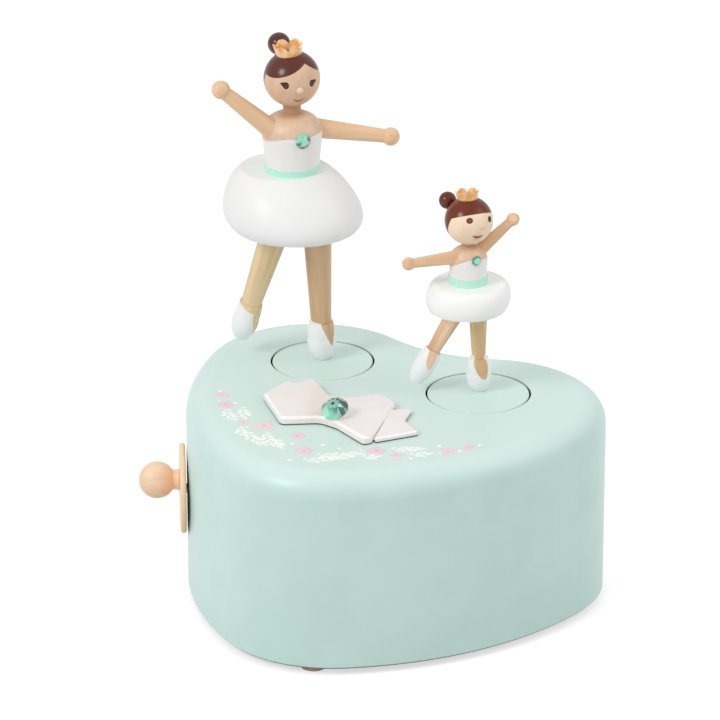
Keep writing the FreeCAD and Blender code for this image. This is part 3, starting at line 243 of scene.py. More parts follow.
def metal(name, colour, roughness, fine=900):
    """Plain metal with fine uneven marks."""
    look = Look(name, roughness, Metallic=1.0)
    marks = look.noise(look.point, fine, 3)
    look.colour(look.blend(marks, colour, darker(colour, 0.8)))
    look.roughen(marks, roughness * 0.8, roughness * 1.3)
    look.bump(marks, 0.05, 0.03)
    return look


# Beech tones, each a light and a dark one: the photo's pieces differ

plate_beech = (linear(255, 220, 186), linear(252, 210, 174))
knob_beech = (linear(251, 222, 192), linear(243, 207, 174))
nose_beech = (linear(244, 214, 188), linear(236, 203, 174))
arm_beech = (linear(241, 202, 164), linear(228, 187, 148))
shin_beech = (linear(219, 185, 146), linear(201, 163, 124))
far_shin_beech = (linear(235, 209, 168), linear(217, 187, 144))
small_arm_beech = (linear(238, 200, 163), linear(216, 172, 132))
small_lifted_beech = (linear(250, 220, 186), linear(220, 172, 130))
small_shin_beech = (linear(226, 191, 148), linear(206, 167, 124))
small_thigh_beech = (linear(250, 216, 186), linear(212, 162, 122))


# Camera and light

camera_lens = 248.8
camera_sensor = 36.0
camera_reach = 50.0
camera_distance = 1.5178
camera_tilt = math.radians(22.75)
view_left = 12.35
view_back = 13.97
lamp_target = mm(0, 0, 60)
room_level = 0.74
seen_room_level = 1.0
floor_half_width = 6
floor_back = 9
floor_grey = 0.58
floor_glow = 0.6


def make_camera():
    """A long lens that looks down over the lid, from where the dancers face."""
    data = bpy.data.cameras.new("Camera")
    data.lens = camera_lens
    data.sensor_width = camera_sensor
    data.clip_end = camera_reach
    camera = put("Camera", data)
    bpy.context.scene.camera = camera
    target = mm(0, 0, lid_top) - across * view_left * MM + away * view_back * MM
    back = away * camera_distance * math.cos(camera_tilt)
    camera.location = target - back + UP * camera_distance * math.sin(camera_tilt)
    camera.rotation_euler = (math.radians(90) - camera_tilt, 0, figure_turn)


def seen_from(right, back, up):
    """A place by how far it is to the camera's right, away from it and up, in metres."""
    return across * right + away * back + UP * up


def lamp(name, place, size, power):
    """A square soft lamp that points at the toy; its size is in metres."""
    data = bpy.data.lights.new(name, "AREA")
    data.shape = "RECTANGLE"
    data.size = data.size_y = size
    data.energy = power
    lamp_object = put(name, data)
    lamp_object.location = place
    lamp_object.rotation_euler = (lamp_target - place).to_track_quat("-Z", "Y").to_euler()


def seen_rays(tree):
    """1 where a ray comes from the camera, or from a gloss or a clear surface it looks at."""
    paths = tree.nodes.new("ShaderNodeLightPath")
    found = paths.outputs["Is Camera Ray"]
    for other in ("Is Glossy Ray", "Is Transmission Ray"):
        either = tree.nodes.new("ShaderNodeMath")
        either.operation = "MAXIMUM"
        tree.links.new(found, either.inputs[0])
        tree.links.new(paths.outputs[other], either.inputs[1])
        found = either.outputs[0]
    return found


def make_world():
    """A soft room that lights the toy at one level and shows at another."""
    world = bpy.data.worlds.new("Studio")
    bpy.context.scene.world = world
    world.use_nodes = True
    tree = world.node_tree
    room = tree.nodes["Background"]
    room.inputs["Color"].default_value = (1, 1, 1, 1)
    room.inputs["Strength"].default_value = room_level
    bright = tree.nodes.new("ShaderNodeBackground")
    bright.inputs["Strength"].default_value = seen_room_level
    pick = tree.nodes.new("ShaderNodeMixShader")
    tree.links.new(seen_rays(tree), pick.inputs[0])
    tree.links.new(room.outputs[0], pick.inputs[1])
    tree.links.new(bright.outputs[0], pick.inputs[2])
    tree.links.new(pick.outputs[0], tree.nodes["World Output"].inputs["Surface"])


def make_floor():
    """A wide pale floor that looks white to the camera and still takes a soft shadow."""
    mesh = bpy.data.meshes.new("floor")
    half = floor_half_width
    corners = [(-half, -half, 0), (half, -half, 0), (half, floor_back, 0), (-half, floor_back, 0)]
    mesh.from_pydata(corners, [], [(0, 1, 2, 3)])
    floor = put("floor", mesh)
    material = bpy.data.materials.new("floor")
    material.use_nodes = True
    tree = material.node_tree
    tree.nodes.remove(tree.nodes["Principled BSDF"])
    diffuse = tree.nodes.new("ShaderNodeBsdfDiffuse")
    diffuse.inputs["Color"].default_value = (floor_grey, floor_grey, floor_grey, 1)
    glow = tree.nodes.new("ShaderNodeEmission")
    level = tree.nodes.new("ShaderNodeMath")
    level.operation = "MULTIPLY"
    level.inputs[1].default_value = floor_glow
    tree.links.new(seen_rays(tree), level.inputs[0])
    tree.links.new(level.outputs[0], glow.inputs["Strength"])
    both = tree.nodes.new("ShaderNodeAddShader")
    tree.links.new(diffuse.outputs[0], both.inputs[0])
    tree.links.new(glow.outputs[0], both.inputs[1])
    tree.links.new(both.outputs[0], tree.nodes["Material Output"].inputs["Surface"])
    mesh.materials.append(material)


make_camera()
bpy.context.scene.view_settings.view_transform = "Standard"
lamp("key", seen_from(-0.818, -0.616, 0.86), 0.4, 5.2)
lamp("fill", seen_from(1.0, -0.25, 0.85), 0.9, 2.7)
make_world()
make_floor()


# Painted box and its crank; heights and depths are in millimetres

mint = linear(203, 230, 224)
mint_shade = linear(197, 225, 219)
mint_lid_painted_sheen = linear(212, 234, 228)
gap_painted_shade = linear(26, 38, 38)
bottom_painted_shade = linear(70, 72, 66)
lid_sheen_height = 60.5
lid_sheen_fade = 3.0
bottom_shade_height = 2.55
well_shade_depth = 0.65
well_shade_fade = 0.2
well_shade_margin = 0.2
disc_shade_depth = 0.6
disc_shade_fade = 0.15


def dress_box():
    """Mint paint, paler on the lid by painted sheen; painted shade in wells and at the bottom."""
    look = paint("mint_paint", mint, mint_shade)
    # Painted sheen: above a height the paint turns to a paler mint, as on the lid.
    side = look.below(lid_sheen_height, lid_sheen_fade)
    look.over(look.maths("SUBTRACT", 1.0, side), mint_lid_painted_sheen)
    # Painted shade: a dark line along the bottom edge, below a height.
    look.over(look.below(bottom_shade_height), bottom_painted_shade)
    # Painted shade: the walls of each well go dark below a depth, inside a margin round its disc.
    deep = look.below(lid_top - well_shade_depth, well_shade_fade)
    well_radius = disc_radius + disc_gap + well_shade_margin
    for disc in (left_disc, right_disc):
        look.tint(deep, look.around(disc, well_radius), gap_painted_shade)
    look.wear(["body_shell"])


def dress_discs():
    """The lid's mint with painted sheen on top, and painted shade on edges facing the wells."""
    look = paint("disc_paint", mint_lid_painted_sheen, mint_lid_painted_sheen)
    # Painted shade: the disc's edge goes dark below a depth.
    look.over(look.below(lid_top - disc_shade_depth, disc_shade_fade), gap_painted_shade)
    look.wear(["left_disc", "right_disc"])


def felt(name, colour):
    """Felt with a short fuzz."""
    look = Look(name, 0.9, Sheen_Weight=0.3)
    fuzz = look.noise(look.point, 2600, 4)
    look.colour(look.blend(fuzz, colour, darker(colour, 0.6)))
    look.bump(fuzz, 0.4, 0.15)
    return look


dress_box()
dress_discs()
bare_wood("crank_beech", crank_line.cross(UP), plate_beech).wear(["crank_plate"])
bare_wood("knob_beech", crank_line, knob_beech).wear(["crank_knob"])
paint("dark_board", linear(64, 50, 44), linear(52, 42, 38), 0.7).wear(["bottom_board"])
felt("foot_felt", linear(232, 192, 180)).wear(["foot_pads"])


# Mechanism

metal("steel", linear(198, 200, 204), 0.3).wear([
    "board_screws", "movement_screws", "comb_screws", "crank_shaft", "knob_pin",
    "centre_post", "post_clip", "cylinder_arbor", "left_spindle", "right_spindle",
    "left_clip", "right_clip"])
metal("spring_steel", linear(206, 208, 214), 0.22, 1600).wear(["comb"])
metal("brass", linear(214, 178, 104), 0.25).wear([
    "crank_bush", "left_bush", "right_bush", "crank_collar", "cylinder_pinion",
    "crown_pinion", "cylinder_gear", "pinned_cylinder"])
paint("cast_grey", linear(128, 130, 134), linear(116, 118, 122), 0.55, 0.3).wear(
    ["movement_frame"])
paint("moulded_cream", linear(236, 230, 214), linear(230, 223, 206), 0.4, 0.02).wear(
    ["crown_wheel", "drive_gear", "left_gear", "right_gear"])


# Cut stones

# Painted reflections, shade and light of the stones: facet tones, a dark and a bright side, a
# dark rim, a star and a core.
facet_reflection_deep = linear(70, 116, 104)
facet_reflection_pale = linear(168, 216, 200)
stone_painted_shade = linear(46, 80, 74)
stone_painted_light = linear(152, 236, 204)
stone_rim_painted_shade = linear(52, 104, 100)
star_painted_reflection = linear(150, 206, 190)
core_painted_reflection = linear(38, 76, 68)
shoulder_share = 0.58


def stone_frame(name):
    """Where a stone sits, from its solid: the middle of its back, its way up and its levels."""
    mesh = nodes[name].data
    flats = {}
    for face in mesh.polygons:
        key = tuple(round(value, 2) for value in face.normal)
        flats.setdefault(key, []).append(face)
    flat = max(flats.values(), key=lambda group: sum(face.area for face in group))
    rim = {index for face in flat for index in face.vertices}
    middle = sum((mesh.vertices[index].co for index in rim), Vector()) / len(rim)
    upward = flat[0].normal.copy()
    for _ in range(2):
        offsets = [vertex.co - middle for vertex in mesh.vertices]
        levels = [offset.dot(upward) for offset in offsets]
        spans = [(offset - upward * level).length for offset, level in zip(offsets, levels)]
        girdle = levels[spans.index(max(spans))] - min(levels)
        height = max(levels) - min(levels)
        if girdle < height / 2:
            break
        upward = -upward
    return middle + upward * min(levels), upward, max(spans), height, girdle


def cut_facets(build, seat, turn, radius, height, girdle_level):
    """A round cut: a flat table, stars, kites and a girdle over a flat back.

    Each ring has a count of corners, an offset in steps, a share of the radius and a level.
    """
    rings = []
    shoulder = girdle_level + (height - girdle_level) * shoulder_share
    for count, offset, share, level in ((8, 0.5, 0.5, height), (8, 0.0, 0.78, shoulder),
                                        (16, 0.5, 0.995, girdle_level), (16, 0.5, 0.955, 0.0)):
        ring = []
        for step in range(count):
            angle = 2 * math.pi * (step + offset) / count
            point = Vector((math.cos(angle) * share * radius, math.sin(angle) * share * radius,
                            level))
            ring.append(build.verts.new(seat + turn @ point))
        rings.append(ring)
    table, middle, girdle, back = rings
    build.faces.new(table)
    build.faces.new(list(reversed(back)))
    for step in range(8):
        after = (step + 1) % 8
        build.faces.new([middle[after], table[after], table[step]])
        build.faces.new([table[step], middle[step], girdle[2 * step], middle[after]])
        build.faces.new([middle[step], girdle[2 * step - 1], girdle[2 * step]])
        build.faces.new([middle[after], girdle[2 * step], girdle[2 * step + 1]])
    for step in range(16):
        after = (step + 1) % 16
        build.faces.new([girdle[step], back[step], back[after], girdle[after]])


def stone_look(name, seat, rotation, radius, height, shade_way, shade_from, rim, starred):
    """Foiled green crystal with painted reflections: facet tones set by the way each faces,
    and a side of painted shade and a side of painted light.

    The painted shade lies towards the given way, from the given share of the radius on. The
    rim is darkened by a share as painted shade, and a starred stone shows a painted reflection
    of an eight-armed star and a dark core through its table.
    """
    look = Look(name, 0.1, Metallic=0.2, Coat_Weight=0.6, Coat_Roughness=0.05)
    normal = look.nodes.new("ShaderNodeTexCoord").outputs["Normal"]
    shift = look.noise(look.local((3.1, 1.7, 0.4), vector=normal), 4.6, 1)
    look.colour(look.blend(look.rise(shift, 0.38, 0.62), facet_reflection_deep, facet_reflection_pale))
    x, y, z = look.parts(look.local(seat, rotation, (radius,) * 3))
    side = look.maths("MULTIPLY_ADD", x, shade_way[0], look.maths("MULTIPLY", y, shade_way[1]))
    look.tint(look.rise(side, shade_from, shade_from + 0.4), 0.85, stone_painted_shade)
    look.tint(look.rise(side, shade_from - 0.3, shade_from - 0.8), 0.75, stone_painted_light)
    reach = look.maths("SQRT", look.maths("MULTIPLY_ADD", x, x, look.maths("MULTIPLY", y, y)))
    look.tint(look.rise(reach, 0.6, 0.85), rim, stone_rim_painted_shade)
    if not starred:
        return look
    arms = look.maths("COSINE", look.maths("MULTIPLY", look.maths("ARCTAN2", y, x), 8.0))
    table = look.rise(z, (height / radius) * 0.9, (height / radius) * 0.96)
    star = look.maths("SUBTRACT", look.maths("MULTIPLY_ADD", arms, 0.15, 0.34), reach)
    look.tint(look.rise(star, -0.03, 0.03), table, star_painted_reflection)
    core = look.maths("SUBTRACT", look.maths("MULTIPLY_ADD", arms, -0.04, 0.15), reach)
    look.tint(look.rise(core, -0.02, 0.02), table, core_painted_reflection)
    return look


def set_stone(name, body, shade_way, shade_from, rim=0.0, starred=False):
    """Stand a finer cut stone in a solid's place."""
    seat, upward, radius, height, girdle = stone_frame(name)
    rotation = turned(upward)
    turn = rotation.to_matrix()
    build = bmesh.new()
    cut_facets(build, seat, turn, radius, height, girdle)
    bmesh.ops.recalc_face_normals(build, faces=build.faces)
    mesh = bpy.data.meshes.new(name + "_cut")
    build.to_mesh(mesh)
    build.free()
    piece = put(name + "_cut", mesh)
    flat_way = (turn.transposed() @ shade_way).xy.normalized()
    look = stone_look(name + "_crystal", seat, rotation, radius, height, flat_way, shade_from,
                      rim, starred)
    mesh.materials.append(look.material)
    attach(piece, body)
    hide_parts(name)


set_stone("bow_gem", "box", away + across * 0.8, 0.05, starred=True)
set_stone("large_chest_gem", "left_turntable", across * 0.5 - UP, 0.2)
set_stone("small_chest_gem", "right_turntable", across * 0.8 - UP * 0.6, 0.6, rim=0.75)


# Crowns and hair

brown_hair = (linear(92, 42, 30), linear(74, 32, 24))
red_hair = (linear(108, 42, 14), linear(86, 32, 12))


def gold(name):
    """Warm gold plastic with a slightly wavy skin."""
    look = Look(name, 0.3, Metallic=0.15, Coat_Weight=0.4, Coat_Roughness=0.15)
    look.cloudy(420, linear(255, 222, 170), linear(240, 172, 104))
    look.bump(look.noise(look.point, 700, 2), 0.3, 0.2)
    return look


def hair_paint(name, tones):
    """Glossy paint of the buns."""
    look = Look(name, 0.28, Coat_Weight=0.3, Coat_Roughness=0.12, Specular_IOR_Level=0.3)
    look.cloudy(160, *tones)
    look.bump(look.noise(look.point, 900, 2), 0.06, 0.05)
    return look


gold("gold").wear(["large_crown", "small_crown"])
hair_paint("brown_hair", brown_hair).wear(["large_bun"])
hair_paint("red_hair", red_hair).wear(["small_bun"])


# Dancers

class Figure:
    """One dancer's own frame: its viewer's right, away from its viewer, and up."""

    def __init__(self, disc):
        self.disc = disc
        self.turn = Matrix.Rotation(figure_turn, 3, "Z")

    def place(self, x, y, z):
        """A place in metres, from millimetres off the middle of the dancer's disc."""
        return (self.disc + self.turn @ Vector((x, y, z))) * MM

    def way(self, x, y, z):
        """A direction of length 1."""
        return (self.turn @ Vector((x, y, z))).normalized()


large = Figure(left_disc)
small = Figure(right_disc)

dark_eye = linear(46, 20, 8)
iris_brown = linear(104, 54, 28)
brown_eye = linear(112, 50, 34)
brown_pupil = linear(140, 72, 52)
lip_red = linear(184, 80, 82)
lip_rose = linear(158, 66, 76)
blush_pink = linear(228, 146, 136)
bodice_white = linear(240, 238, 235)
shoe_white = linear(242, 243, 243)
chin_painted_shade = linear(172, 120, 82)
torso_beech = (linear(228, 197, 168), linear(218, 184, 154))


def aim(azimuth, elevation):
    """Unit direction from a head's centre; azimuth 0 faces the viewer, + to the right."""
    side, lift = math.radians(azimuth), math.radians(elevation)
    return Vector((math.sin(side) * math.cos(lift), -math.cos(side) * math.cos(lift),
                   math.sin(lift)))


def facing(azimuth, elevation, roll=0.0):
    """The rotation that lays a mark flat on a head, in that direction."""
    return (math.radians(-elevation), math.radians(roll), math.radians(azimuth))


def head_look(name, figure, centre, radius, tones, hair_tone, hair, features, blush):
    """Varnished head with painted hair, eyes and mouth, in directions from its centre.

    Hair lies beyond each plane, given by its normal and its level in radii. A feature has
    azimuth, elevation and roll in degrees, half its width and height in radii, a bend and a
    colour. A blush has azimuth, elevation, half its width and height, and a strength.
    """
    look = Look(name, 0.42, Coat_Weight=0.2, Coat_Roughness=0.15, Specular_IOR_Level=0.3)
    tone, flecks = wood_tone(look, (0.2, 0.1, 1), *tones, 0.8)
    look.colour(tone)
    ball = look.local(figure.place(*centre), (0, 0, figure_turn), (radius * MM,) * 3)
    for azimuth, elevation, width, height, strength in blush:
        mask = look.spot(ball, aim(azimuth, elevation), facing(azimuth, elevation),
                         (width, 1, height), soft=0.8)
        look.tint(mask, strength, blush_pink)
    for azimuth, elevation, roll, width, height, bend, colour in features:
        mask = look.spot(ball, aim(azimuth, elevation), facing(azimuth, elevation, roll),
                         (width, 1, height), bend, 0.12)
        look.over(mask, colour)
    cover = None
    for normal, level in hair:
        reach = look.add("VectorMath", {0: ball, 1: normal}, output=1, operation="DOT_PRODUCT")
        side = look.rise(reach, level - 0.012, level + 0.012)
        cover = side if cover is None else look.maths("MAXIMUM", cover, side)
    look.over(cover, hair_tone)
    look.roughen(cover, 0.46, 0.26)
    look.bump(flecks, 0.05, 0.05)
    return look


head_look(
    "large_face", large, (-8.9, 0, 91.25), 8.5,
    tones=(linear(229, 195, 165), linear(219, 182, 151)),
    hair_tone=brown_hair[0],
    hair=[((-0.328, -0.269, 0.905), 0.638), ((0.56, 0.098, 0.823), 0.793),
          ((-0.286, 0.937, 0.2), -0.01)],
    features=[
        (-11.2, 3.0, 0, 0.112, 0.128, 0, dark_eye),
        (-11.0, 2.6, 0, 0.05, 0.06, 0, iris_brown),
        (-15.2, 5.2, -28, 0.1, 0.058, 0, dark_eye),
        (-19.8, 7.4, -26, 0.082, 0.028, 0, dark_eye),
        (45.6, 3.0, 0, 0.112, 0.128, 0, dark_eye),
        (45.4, 2.6, 0, 0.05, 0.06, 0, iris_brown),
        (50.2, 5.2, 28, 0.1, 0.058, 0, dark_eye),
        (54.8, 7.1, 26, 0.082, 0.028, 0, dark_eye),
        (17.2, -35.3, 0, 0.215, 0.044, 2.4, lip_red),
    ],
    blush=[(-22, -14, 0.26, 0.22, 0.22), (54, -14, 0.26, 0.22, 0.22)],
).wear(["large_head"])

head_look(
    "small_face", small, (-3.3, 0, 55.6), 7.25,
    tones=(linear(252, 228, 200), linear(246, 218, 188)),
    hair_tone=red_hair[0],
    hair=[((-0.164, 0.402, 0.901), 0.143), ((-0.51, 0.784, 0.355), -0.018)],
    features=[
        (0.8, 19.6, -8, 0.138, 0.122, 0, brown_eye),
        (0.8, 19.6, -8, 0.07, 0.06, 0, brown_pupil),
        (60.2, 13.6, -8, 0.132, 0.13, 0, dark_eye),
        (22.5, -25.2, 6, 0.235, 0.058, 1.5, lip_rose),
    ],
    blush=[(22.5, -25.0, 0.2, 0.15, 0.5), (-10, -6, 0.22, 0.18, 0.12),
           (66, -10, 0.2, 0.16, 0.12)],
).wear(["small_head"])

bare_wood("nose_beech", UP, nose_beech).wear(["large_nose", "small_nose"])


def torso_look(name, figure, axis_x, neck, middle, slope, curve, dip=None):
    """Varnished shoulders over a white painted bodice; painted shade browns the neck above a
    height.

    The neckline has a height at the torso's axis, a slope, a curve, and where there is a dip,
    its place, half width and depth.
    """
    look = Look(name, 0.45, Coat_Weight=0.25, Coat_Roughness=0.3)
    tone, flecks = wood_tone(look, UP, *torso_beech)
    look.colour(tone)
    x, y, z = look.parts(look.local(figure.place(axis_x, 0, 0), (0, 0, figure_turn),
                                    (MM,) * 3))
    line = look.maths("MULTIPLY_ADD", x, slope, middle)
    line = look.maths("ADD", line, look.maths("MULTIPLY", look.maths("MULTIPLY", x, x), curve))
    if dip:
        place, width, depth = dip
        gap = look.maths("ABSOLUTE", look.maths("SUBTRACT", x, place))
        notch = look.maths("MULTIPLY", look.rise(gap, width, 0.0), -depth)
        line = look.maths("ADD", line, notch)
    look.over(look.rise(look.maths("SUBTRACT", line, z), -0.08, 0.08), bodice_white)
    # Painted shade under the chin: the neck turns brown above its height.
    look.tint(look.rise(z, neck - 0.5, neck + 0.5), 0.75, chin_painted_shade)
    look.bump(flecks, 0.05, 0.05)
    return look


torso_look("large_torso_paint", large, axis_x=-8.9, neck=80.2, middle=75.2, slope=0.154,
           curve=-0.0175, dip=(3.3, 5.0, 1.2)).wear(["large_torso"])
torso_look("small_torso_paint", small, axis_x=-3.3, neck=47.4, middle=44.7, slope=0.22,
           curve=-0.06).wear(["small_torso"])


def leg_look(name, toe, hip, tones, front, skew, tip, half, power, rim, rise):
    """Turned leg: bare wood above, a white shoe below with a bare tongue on its instep.

    The tongue's middle is front degrees round the leg at the rim and moves by skew degrees
    for each millimetre below it; it ends at the height tip, and half is its half width in
    degrees at the rim, which narrows downwards by power. The rim is higher at the heel by
    rise.
    """
    look = Look(name, 0.48, Coat_Weight=0.2, Coat_Roughness=0.3)
    axis = (hip - toe).normalized()
    tone, flecks = wood_tone(look, axis, *tones)
    look.colour(tone)
    rotation = turned(axis, math.degrees(figure_turn) + front)
    x, y, z = look.parts(look.local(toe, rotation, (MM,) * 3))
    angle = look.maths("ARCTAN2", x, look.maths("MULTIPLY", y, -1.0))
    turn_back = look.maths("MULTIPLY", look.maths("SUBTRACT", rim, z), math.radians(skew))
    spread = look.maths("ABSOLUTE", look.maths("SUBTRACT", angle, turn_back))
    share = look.maths("DIVIDE", look.maths("SUBTRACT", z, tip), rim - tip, clamp=True)
    width = look.maths("MULTIPLY", look.maths("POWER", share, power), math.radians(half))
    opening = look.rise(look.maths("SUBTRACT", width, spread), 0.0, 0.05)
    heel = look.maths("MULTIPLY_ADD", look.maths("COSINE", angle), -rise / 2, rim + rise / 2)
    shoe = look.rise(look.maths("SUBTRACT", heel, z), -0.1, 0.1)
    look.tint(shoe, look.maths("SUBTRACT", 1.0, opening), shoe_white)
    look.bump(flecks, 0.08, 0.05)
    return look


leg_look("large_standing_wood", large.place(0, 2.4, 0), large.place(-1.7, 0, 48), shin_beech,
         front=44, skew=0, tip=5.0, half=46, power=0.95, rim=12.7, rise=0.7).wear(
             ["large_standing_leg"])
leg_look("large_free_wood", large.place(-25.2, 4.5, 6.2), large.place(-12.85, -0.3, 46.5),
         far_shin_beech, front=80, skew=0, tip=2.5, half=58, power=0.35, rim=9.6,
         rise=2.4).wear(["large_free_leg"])
leg_look("small_standing_wood", small.place(0.3, 3.0, 0), small.place(-0.4, 0, 30.5),
         small_shin_beech, front=5, skew=3.0, tip=5.0, half=48, power=0.45, rim=12.2,
         rise=0.4).wear(["small_standing_leg"])
leg_look("small_free_wood", small.place(-19.0, 1.4, 3.5), small.place(-4.25, 4.6, 29.0),
         small_thigh_beech, front=2, skew=3.5, tip=5.5, half=33, power=0.4, rim=10.8,
         rise=0.5).wear(["small_free_leg"])

for arm, line, beech in (
        ("large_raised_arm", large.way(-15.7, -2.6, 14.1), arm_beech),
        ("large_level_arm", large.way(23.8, 1.6, -3.5), arm_beech),
        ("small_raised_arm", small.way(11.1, 2.0, 10.3), small_lifted_beech),
        ("small_level_arm", small.way(-14.9, -2.6, -1.2), small_arm_beech)):
    bare_wood(arm + "_wood", line, beech).wear([arm])


def dress_skirt(name, colour, shade):
    """White paint with a soft powdery sheen."""
    look = paint(name + "_paint", colour, shade, 0.5, 0.04)
    look.shader.inputs["Sheen Weight"].default_value = 0.3
    look.shader.inputs["Sheen Roughness"].default_value = 0.4
    look.wear([name])


# The small skirt's white is set paler than the large one's: painted light on the same white
# paint.
dress_skirt("large_skirt", linear(242, 242, 242), linear(239, 239, 238))
dress_skirt("small_skirt", linear(250, 250, 249), linear(247, 247, 246))


def ribbon(name, colour, shade):
    """Satin band: fine threads round the waist, a soft sheen."""
    look = Look(name, 0.5, Sheen_Weight=0.4)
    threads = look.add("TexWave", {"Vector": look.point, "Scale": 900.0, "Distortion": 1.0},
                       output=1, bands_direction="Z")
    look.colour(look.blend(threads, colour, shade))
    look.bump(threads, 0.2, 0.05)
    return look


ribbon("mint_ribbon", linear(196, 245, 228), linear(182, 236, 216)).wear(
    ["large_belt", "small_belt"])


# Bow

edge_painted_highlight = linear(255, 253, 250)
bow_foot_painted_shade = linear(66, 78, 74)
bow_shade_height = 0.42


def dress_bow():
    """Pearl paint, painted highlights on the rounded edges, painted shade where it meets the lid.
    """
    look = Look("pearl_paint", 0.26, Coat_Weight=0.7, Coat_Roughness=0.12, Sheen_Weight=0.2)
    look.cloudy(70, linear(243, 237, 234), linear(242, 230, 229))
    look.bump(look.noise(look.point, 1100, 2), 0.04, 0.05)
    # Painted highlight: the sloping faces of the rounded edges are lightened towards white.
    slope = look.parts(look.nodes.new("ShaderNodeTexCoord").outputs["Normal"])[2]
    edge = look.maths("MULTIPLY", look.rise(slope, 0.15, 0.3), look.rise(slope, 0.97, 0.85))
    look.tint(edge, 0.7, edge_painted_highlight)
    # Painted shade: a dark line round the bow's foot, just above the lid.
    look.over(look.below(lid_top + bow_shade_height, 0.08), bow_foot_painted_shade)
    look.wear(["bow"])


dress_bow()


# Garland painted on the lid: thin domes of paint that follow its top and its rounded edge

shell = nodes["body_shell"].data
shell_tree = BVHTree.FromPolygons([vertex.co for vertex in shell.vertices],
                                  [face.vertices for face in shell.polygons])
drop_sides = 14
root_depth = 0.3


def lid_surface(x, y):
    """The height of the box's upper surface at a place, in millimetres."""
    place = shell_tree.ray_cast(mm(x, y, 2 * lid_top), -UP)[0]
    return place.z / MM


def drop_of_paint(build, x, y, heading, length, width, point=1.0, height=0.09):
    """A thin dome: an oval, or a leaf when point is over 1, with its long way at heading."""
    cosine, sine = math.cos(heading), math.sin(heading)
    rings = []
    for share, lift in ((0.55, height), (0.88, 0.6 * height), (1.0, -0.05)):
        ring = []
        for step in range(drop_sides):
            angle = 2 * math.pi * step / drop_sides
            along = math.cos(angle) * share * length / 2
            aside = math.sin(angle) * abs(math.sin(angle)) ** (point - 1) * share * width / 2
            px, py = x + along * cosine - aside * sine, y + along * sine + aside * cosine
            ring.append(build.verts.new(mm(px, py, lid_surface(px, py) + lift)))
        rings.append(ring)
    ground = lid_surface(x, y)
    crown = build.verts.new(mm(x, y, ground + height * 1.1))
    root = build.verts.new(mm(x, y, ground - root_depth))
    for step in range(drop_sides):
        after = (step + 1) % drop_sides
        build.faces.new([crown, rings[0][step], rings[0][after]])
        for inner, outer in zip(rings, rings[1:]):
            build.faces.new([inner[step], outer[step], outer[after], inner[after]])
        build.faces.new([root, rings[-1][after], rings[-1][step]])


def paint_piece(name, build, look):
    """One piece of all the drops of a colour, which moves with the box."""
    bmesh.ops.recalc_face_normals(build, faces=build.faces)
    mesh = bpy.data.meshes.new(name)
    build.to_mesh(mesh)
    build.free()
    for face in mesh.polygons:
        face.use_smooth = True
    piece = put(name, mesh)
    mesh.materials.append(look.material)
    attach(piece, "box")


def blossom(petals, hearts, x, y, size, heading):
    """Five round petals and a small heart."""
    for step in range(5):
        angle = heading + 2 * math.pi * step / 5
        reach = size * 0.27
        drop_of_paint(petals, x + math.cos(angle) * reach, y + math.sin(angle) * reach, angle,
                      size * 0.5, size * 0.42)
    drop_of_paint(hearts, x, y, heading, size * 0.2, size * 0.2, height=0.16)


def sprig(leaves, x, y, heading, bend, pairs, size):
    """A curved row of leaves, one each side in turn, longest in its middle."""
    for step in range(2 * pairs):
        side = -1 if step % 2 else 1
        length = size * (0.8 + 0.4 * math.sin(math.pi * (step + 0.5) / (2 * pairs)))
        lean = heading + side * (0.75 + 0.2 * math.cos(step * 2.1))
        drop_of_paint(leaves, x + math.cos(lean) * length * 0.5,
                      y + math.sin(lean) * length * 0.5, lean, length, length * 0.42, 1.6)
        x += math.cos(heading) * size * 0.36
        y += math.sin(heading) * size * 0.36
        heading += bend / 2
    drop_of_paint(leaves, x + math.cos(heading) * size * 0.4,
                  y + math.sin(heading) * size * 0.4, heading, size, size * 0.42, 1.6)


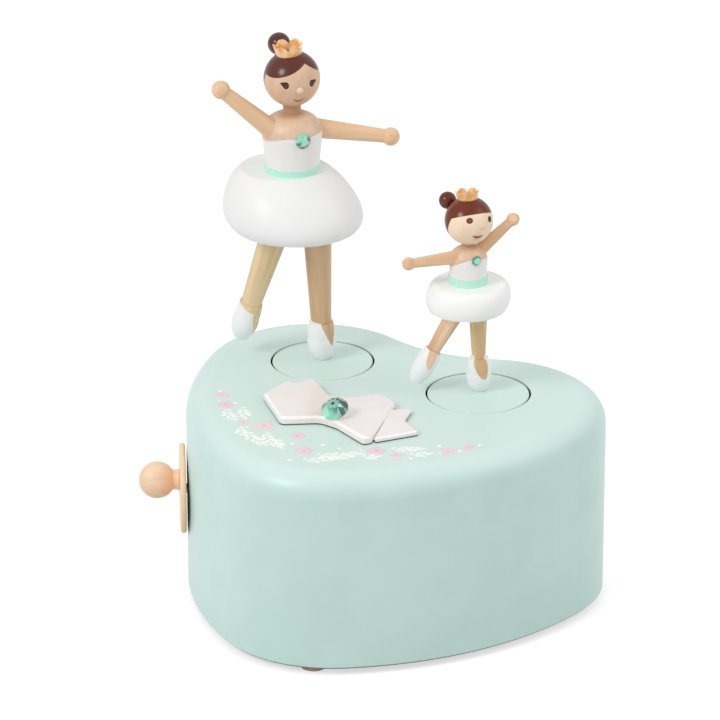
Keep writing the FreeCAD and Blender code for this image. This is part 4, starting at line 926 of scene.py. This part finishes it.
def make_garland():
    """Blossoms, sprigs and dots along the front of the lid.

    Blossoms and dots have x, y and size in millimetres. Sprigs have x, y, a heading in
    degrees, a bend, a count of leaf pairs and the size of a leaf.
    """
    petals, hearts, leaves = bmesh.new(), bmesh.new(), bmesh.new()
    for x, y, size in ((-41.0, -37.0, 5.0), (-36.4, -43.0, 5.6), (-25.0, -52.0, 4.2),
                       (-18.6, -51.2, 7.0), (-6.2, -53.2, 5.2), (0.6, -61.8, 6.2),
                       (19.4, -51.8, 6.0), (26.2, -52.2, 4.4), (38.0, -42.4, 5.4),
                       (42.0, -37.0, 4.6)):
        blossom(petals, hearts, x, y, size, math.radians(28) + x * 0.21)
    for x, y, heading, bend, pairs, size in (
            (-34.8, -46.0, -50, 0.10, 4, 2.6), (-31.6, -42.6, -40, -0.08, 4, 2.5),
            (-24.6, -55.6, -50, 0.06, 3, 2.4), (-20.8, -58.0, -38, 0.06, 5, 2.7),
            (-15.8, -55.6, -52, 0.10, 5, 2.7), (-10.0, -58.0, -60, 0.10, 3, 2.4),
            (3.6, -67.8, 30, 0.08, 5, 2.7), (5.2, -62.8, 22, 0.10, 4, 2.6),
            (10.4, -62.6, 44, 0.04, 3, 2.5), (11.2, -58.8, 26, 0.10, 3, 2.4),
            (17.4, -57.4, 24, 0.12, 2, 2.7), (22.6, -48.6, 24, 0.05, 4, 2.4),
            (25.4, -46.2, 20, 0.05, 3, 2.2), (29.4, -49.8, 38, 0.05, 3, 2.4)):
        sprig(leaves, x, y, math.radians(heading), bend, pairs, size)
    for x, y, size in ((-43.0, -34.6, 1.3), (-34.4, -40.4, 1.5), (-39.6, -41.4, 1.0),
                       (-22.6, -54.4, 1.1), (-5.0, -58.6, 1.4), (0.2, -69.4, 1.7),
                       (3.4, -55.4, 1.6), (9.0, -55.2, 1.3), (15.0, -53.2, 1.2),
                       (30.6, -51.8, 1.2), (33.8, -39.8, 1.6), (36.4, -44.6, 1.0),
                       (40.8, -40.2, 1.4), (44.0, -33.6, 1.6)):
        drop_of_paint(leaves, x, y, figure_turn, size, size)
    paint_piece("garland_blossoms", petals,
                paint("blossom_paint", linear(241, 216, 225), linear(237, 208, 219), 0.45))
    paint_piece("garland_hearts", hearts,
                paint("heart_paint", linear(232, 194, 208), linear(228, 186, 202), 0.45))
    paint_piece("garland_leaves", leaves,
                paint("leaf_paint", linear(250, 252, 250), linear(246, 249, 247), 0.45))


make_garland()
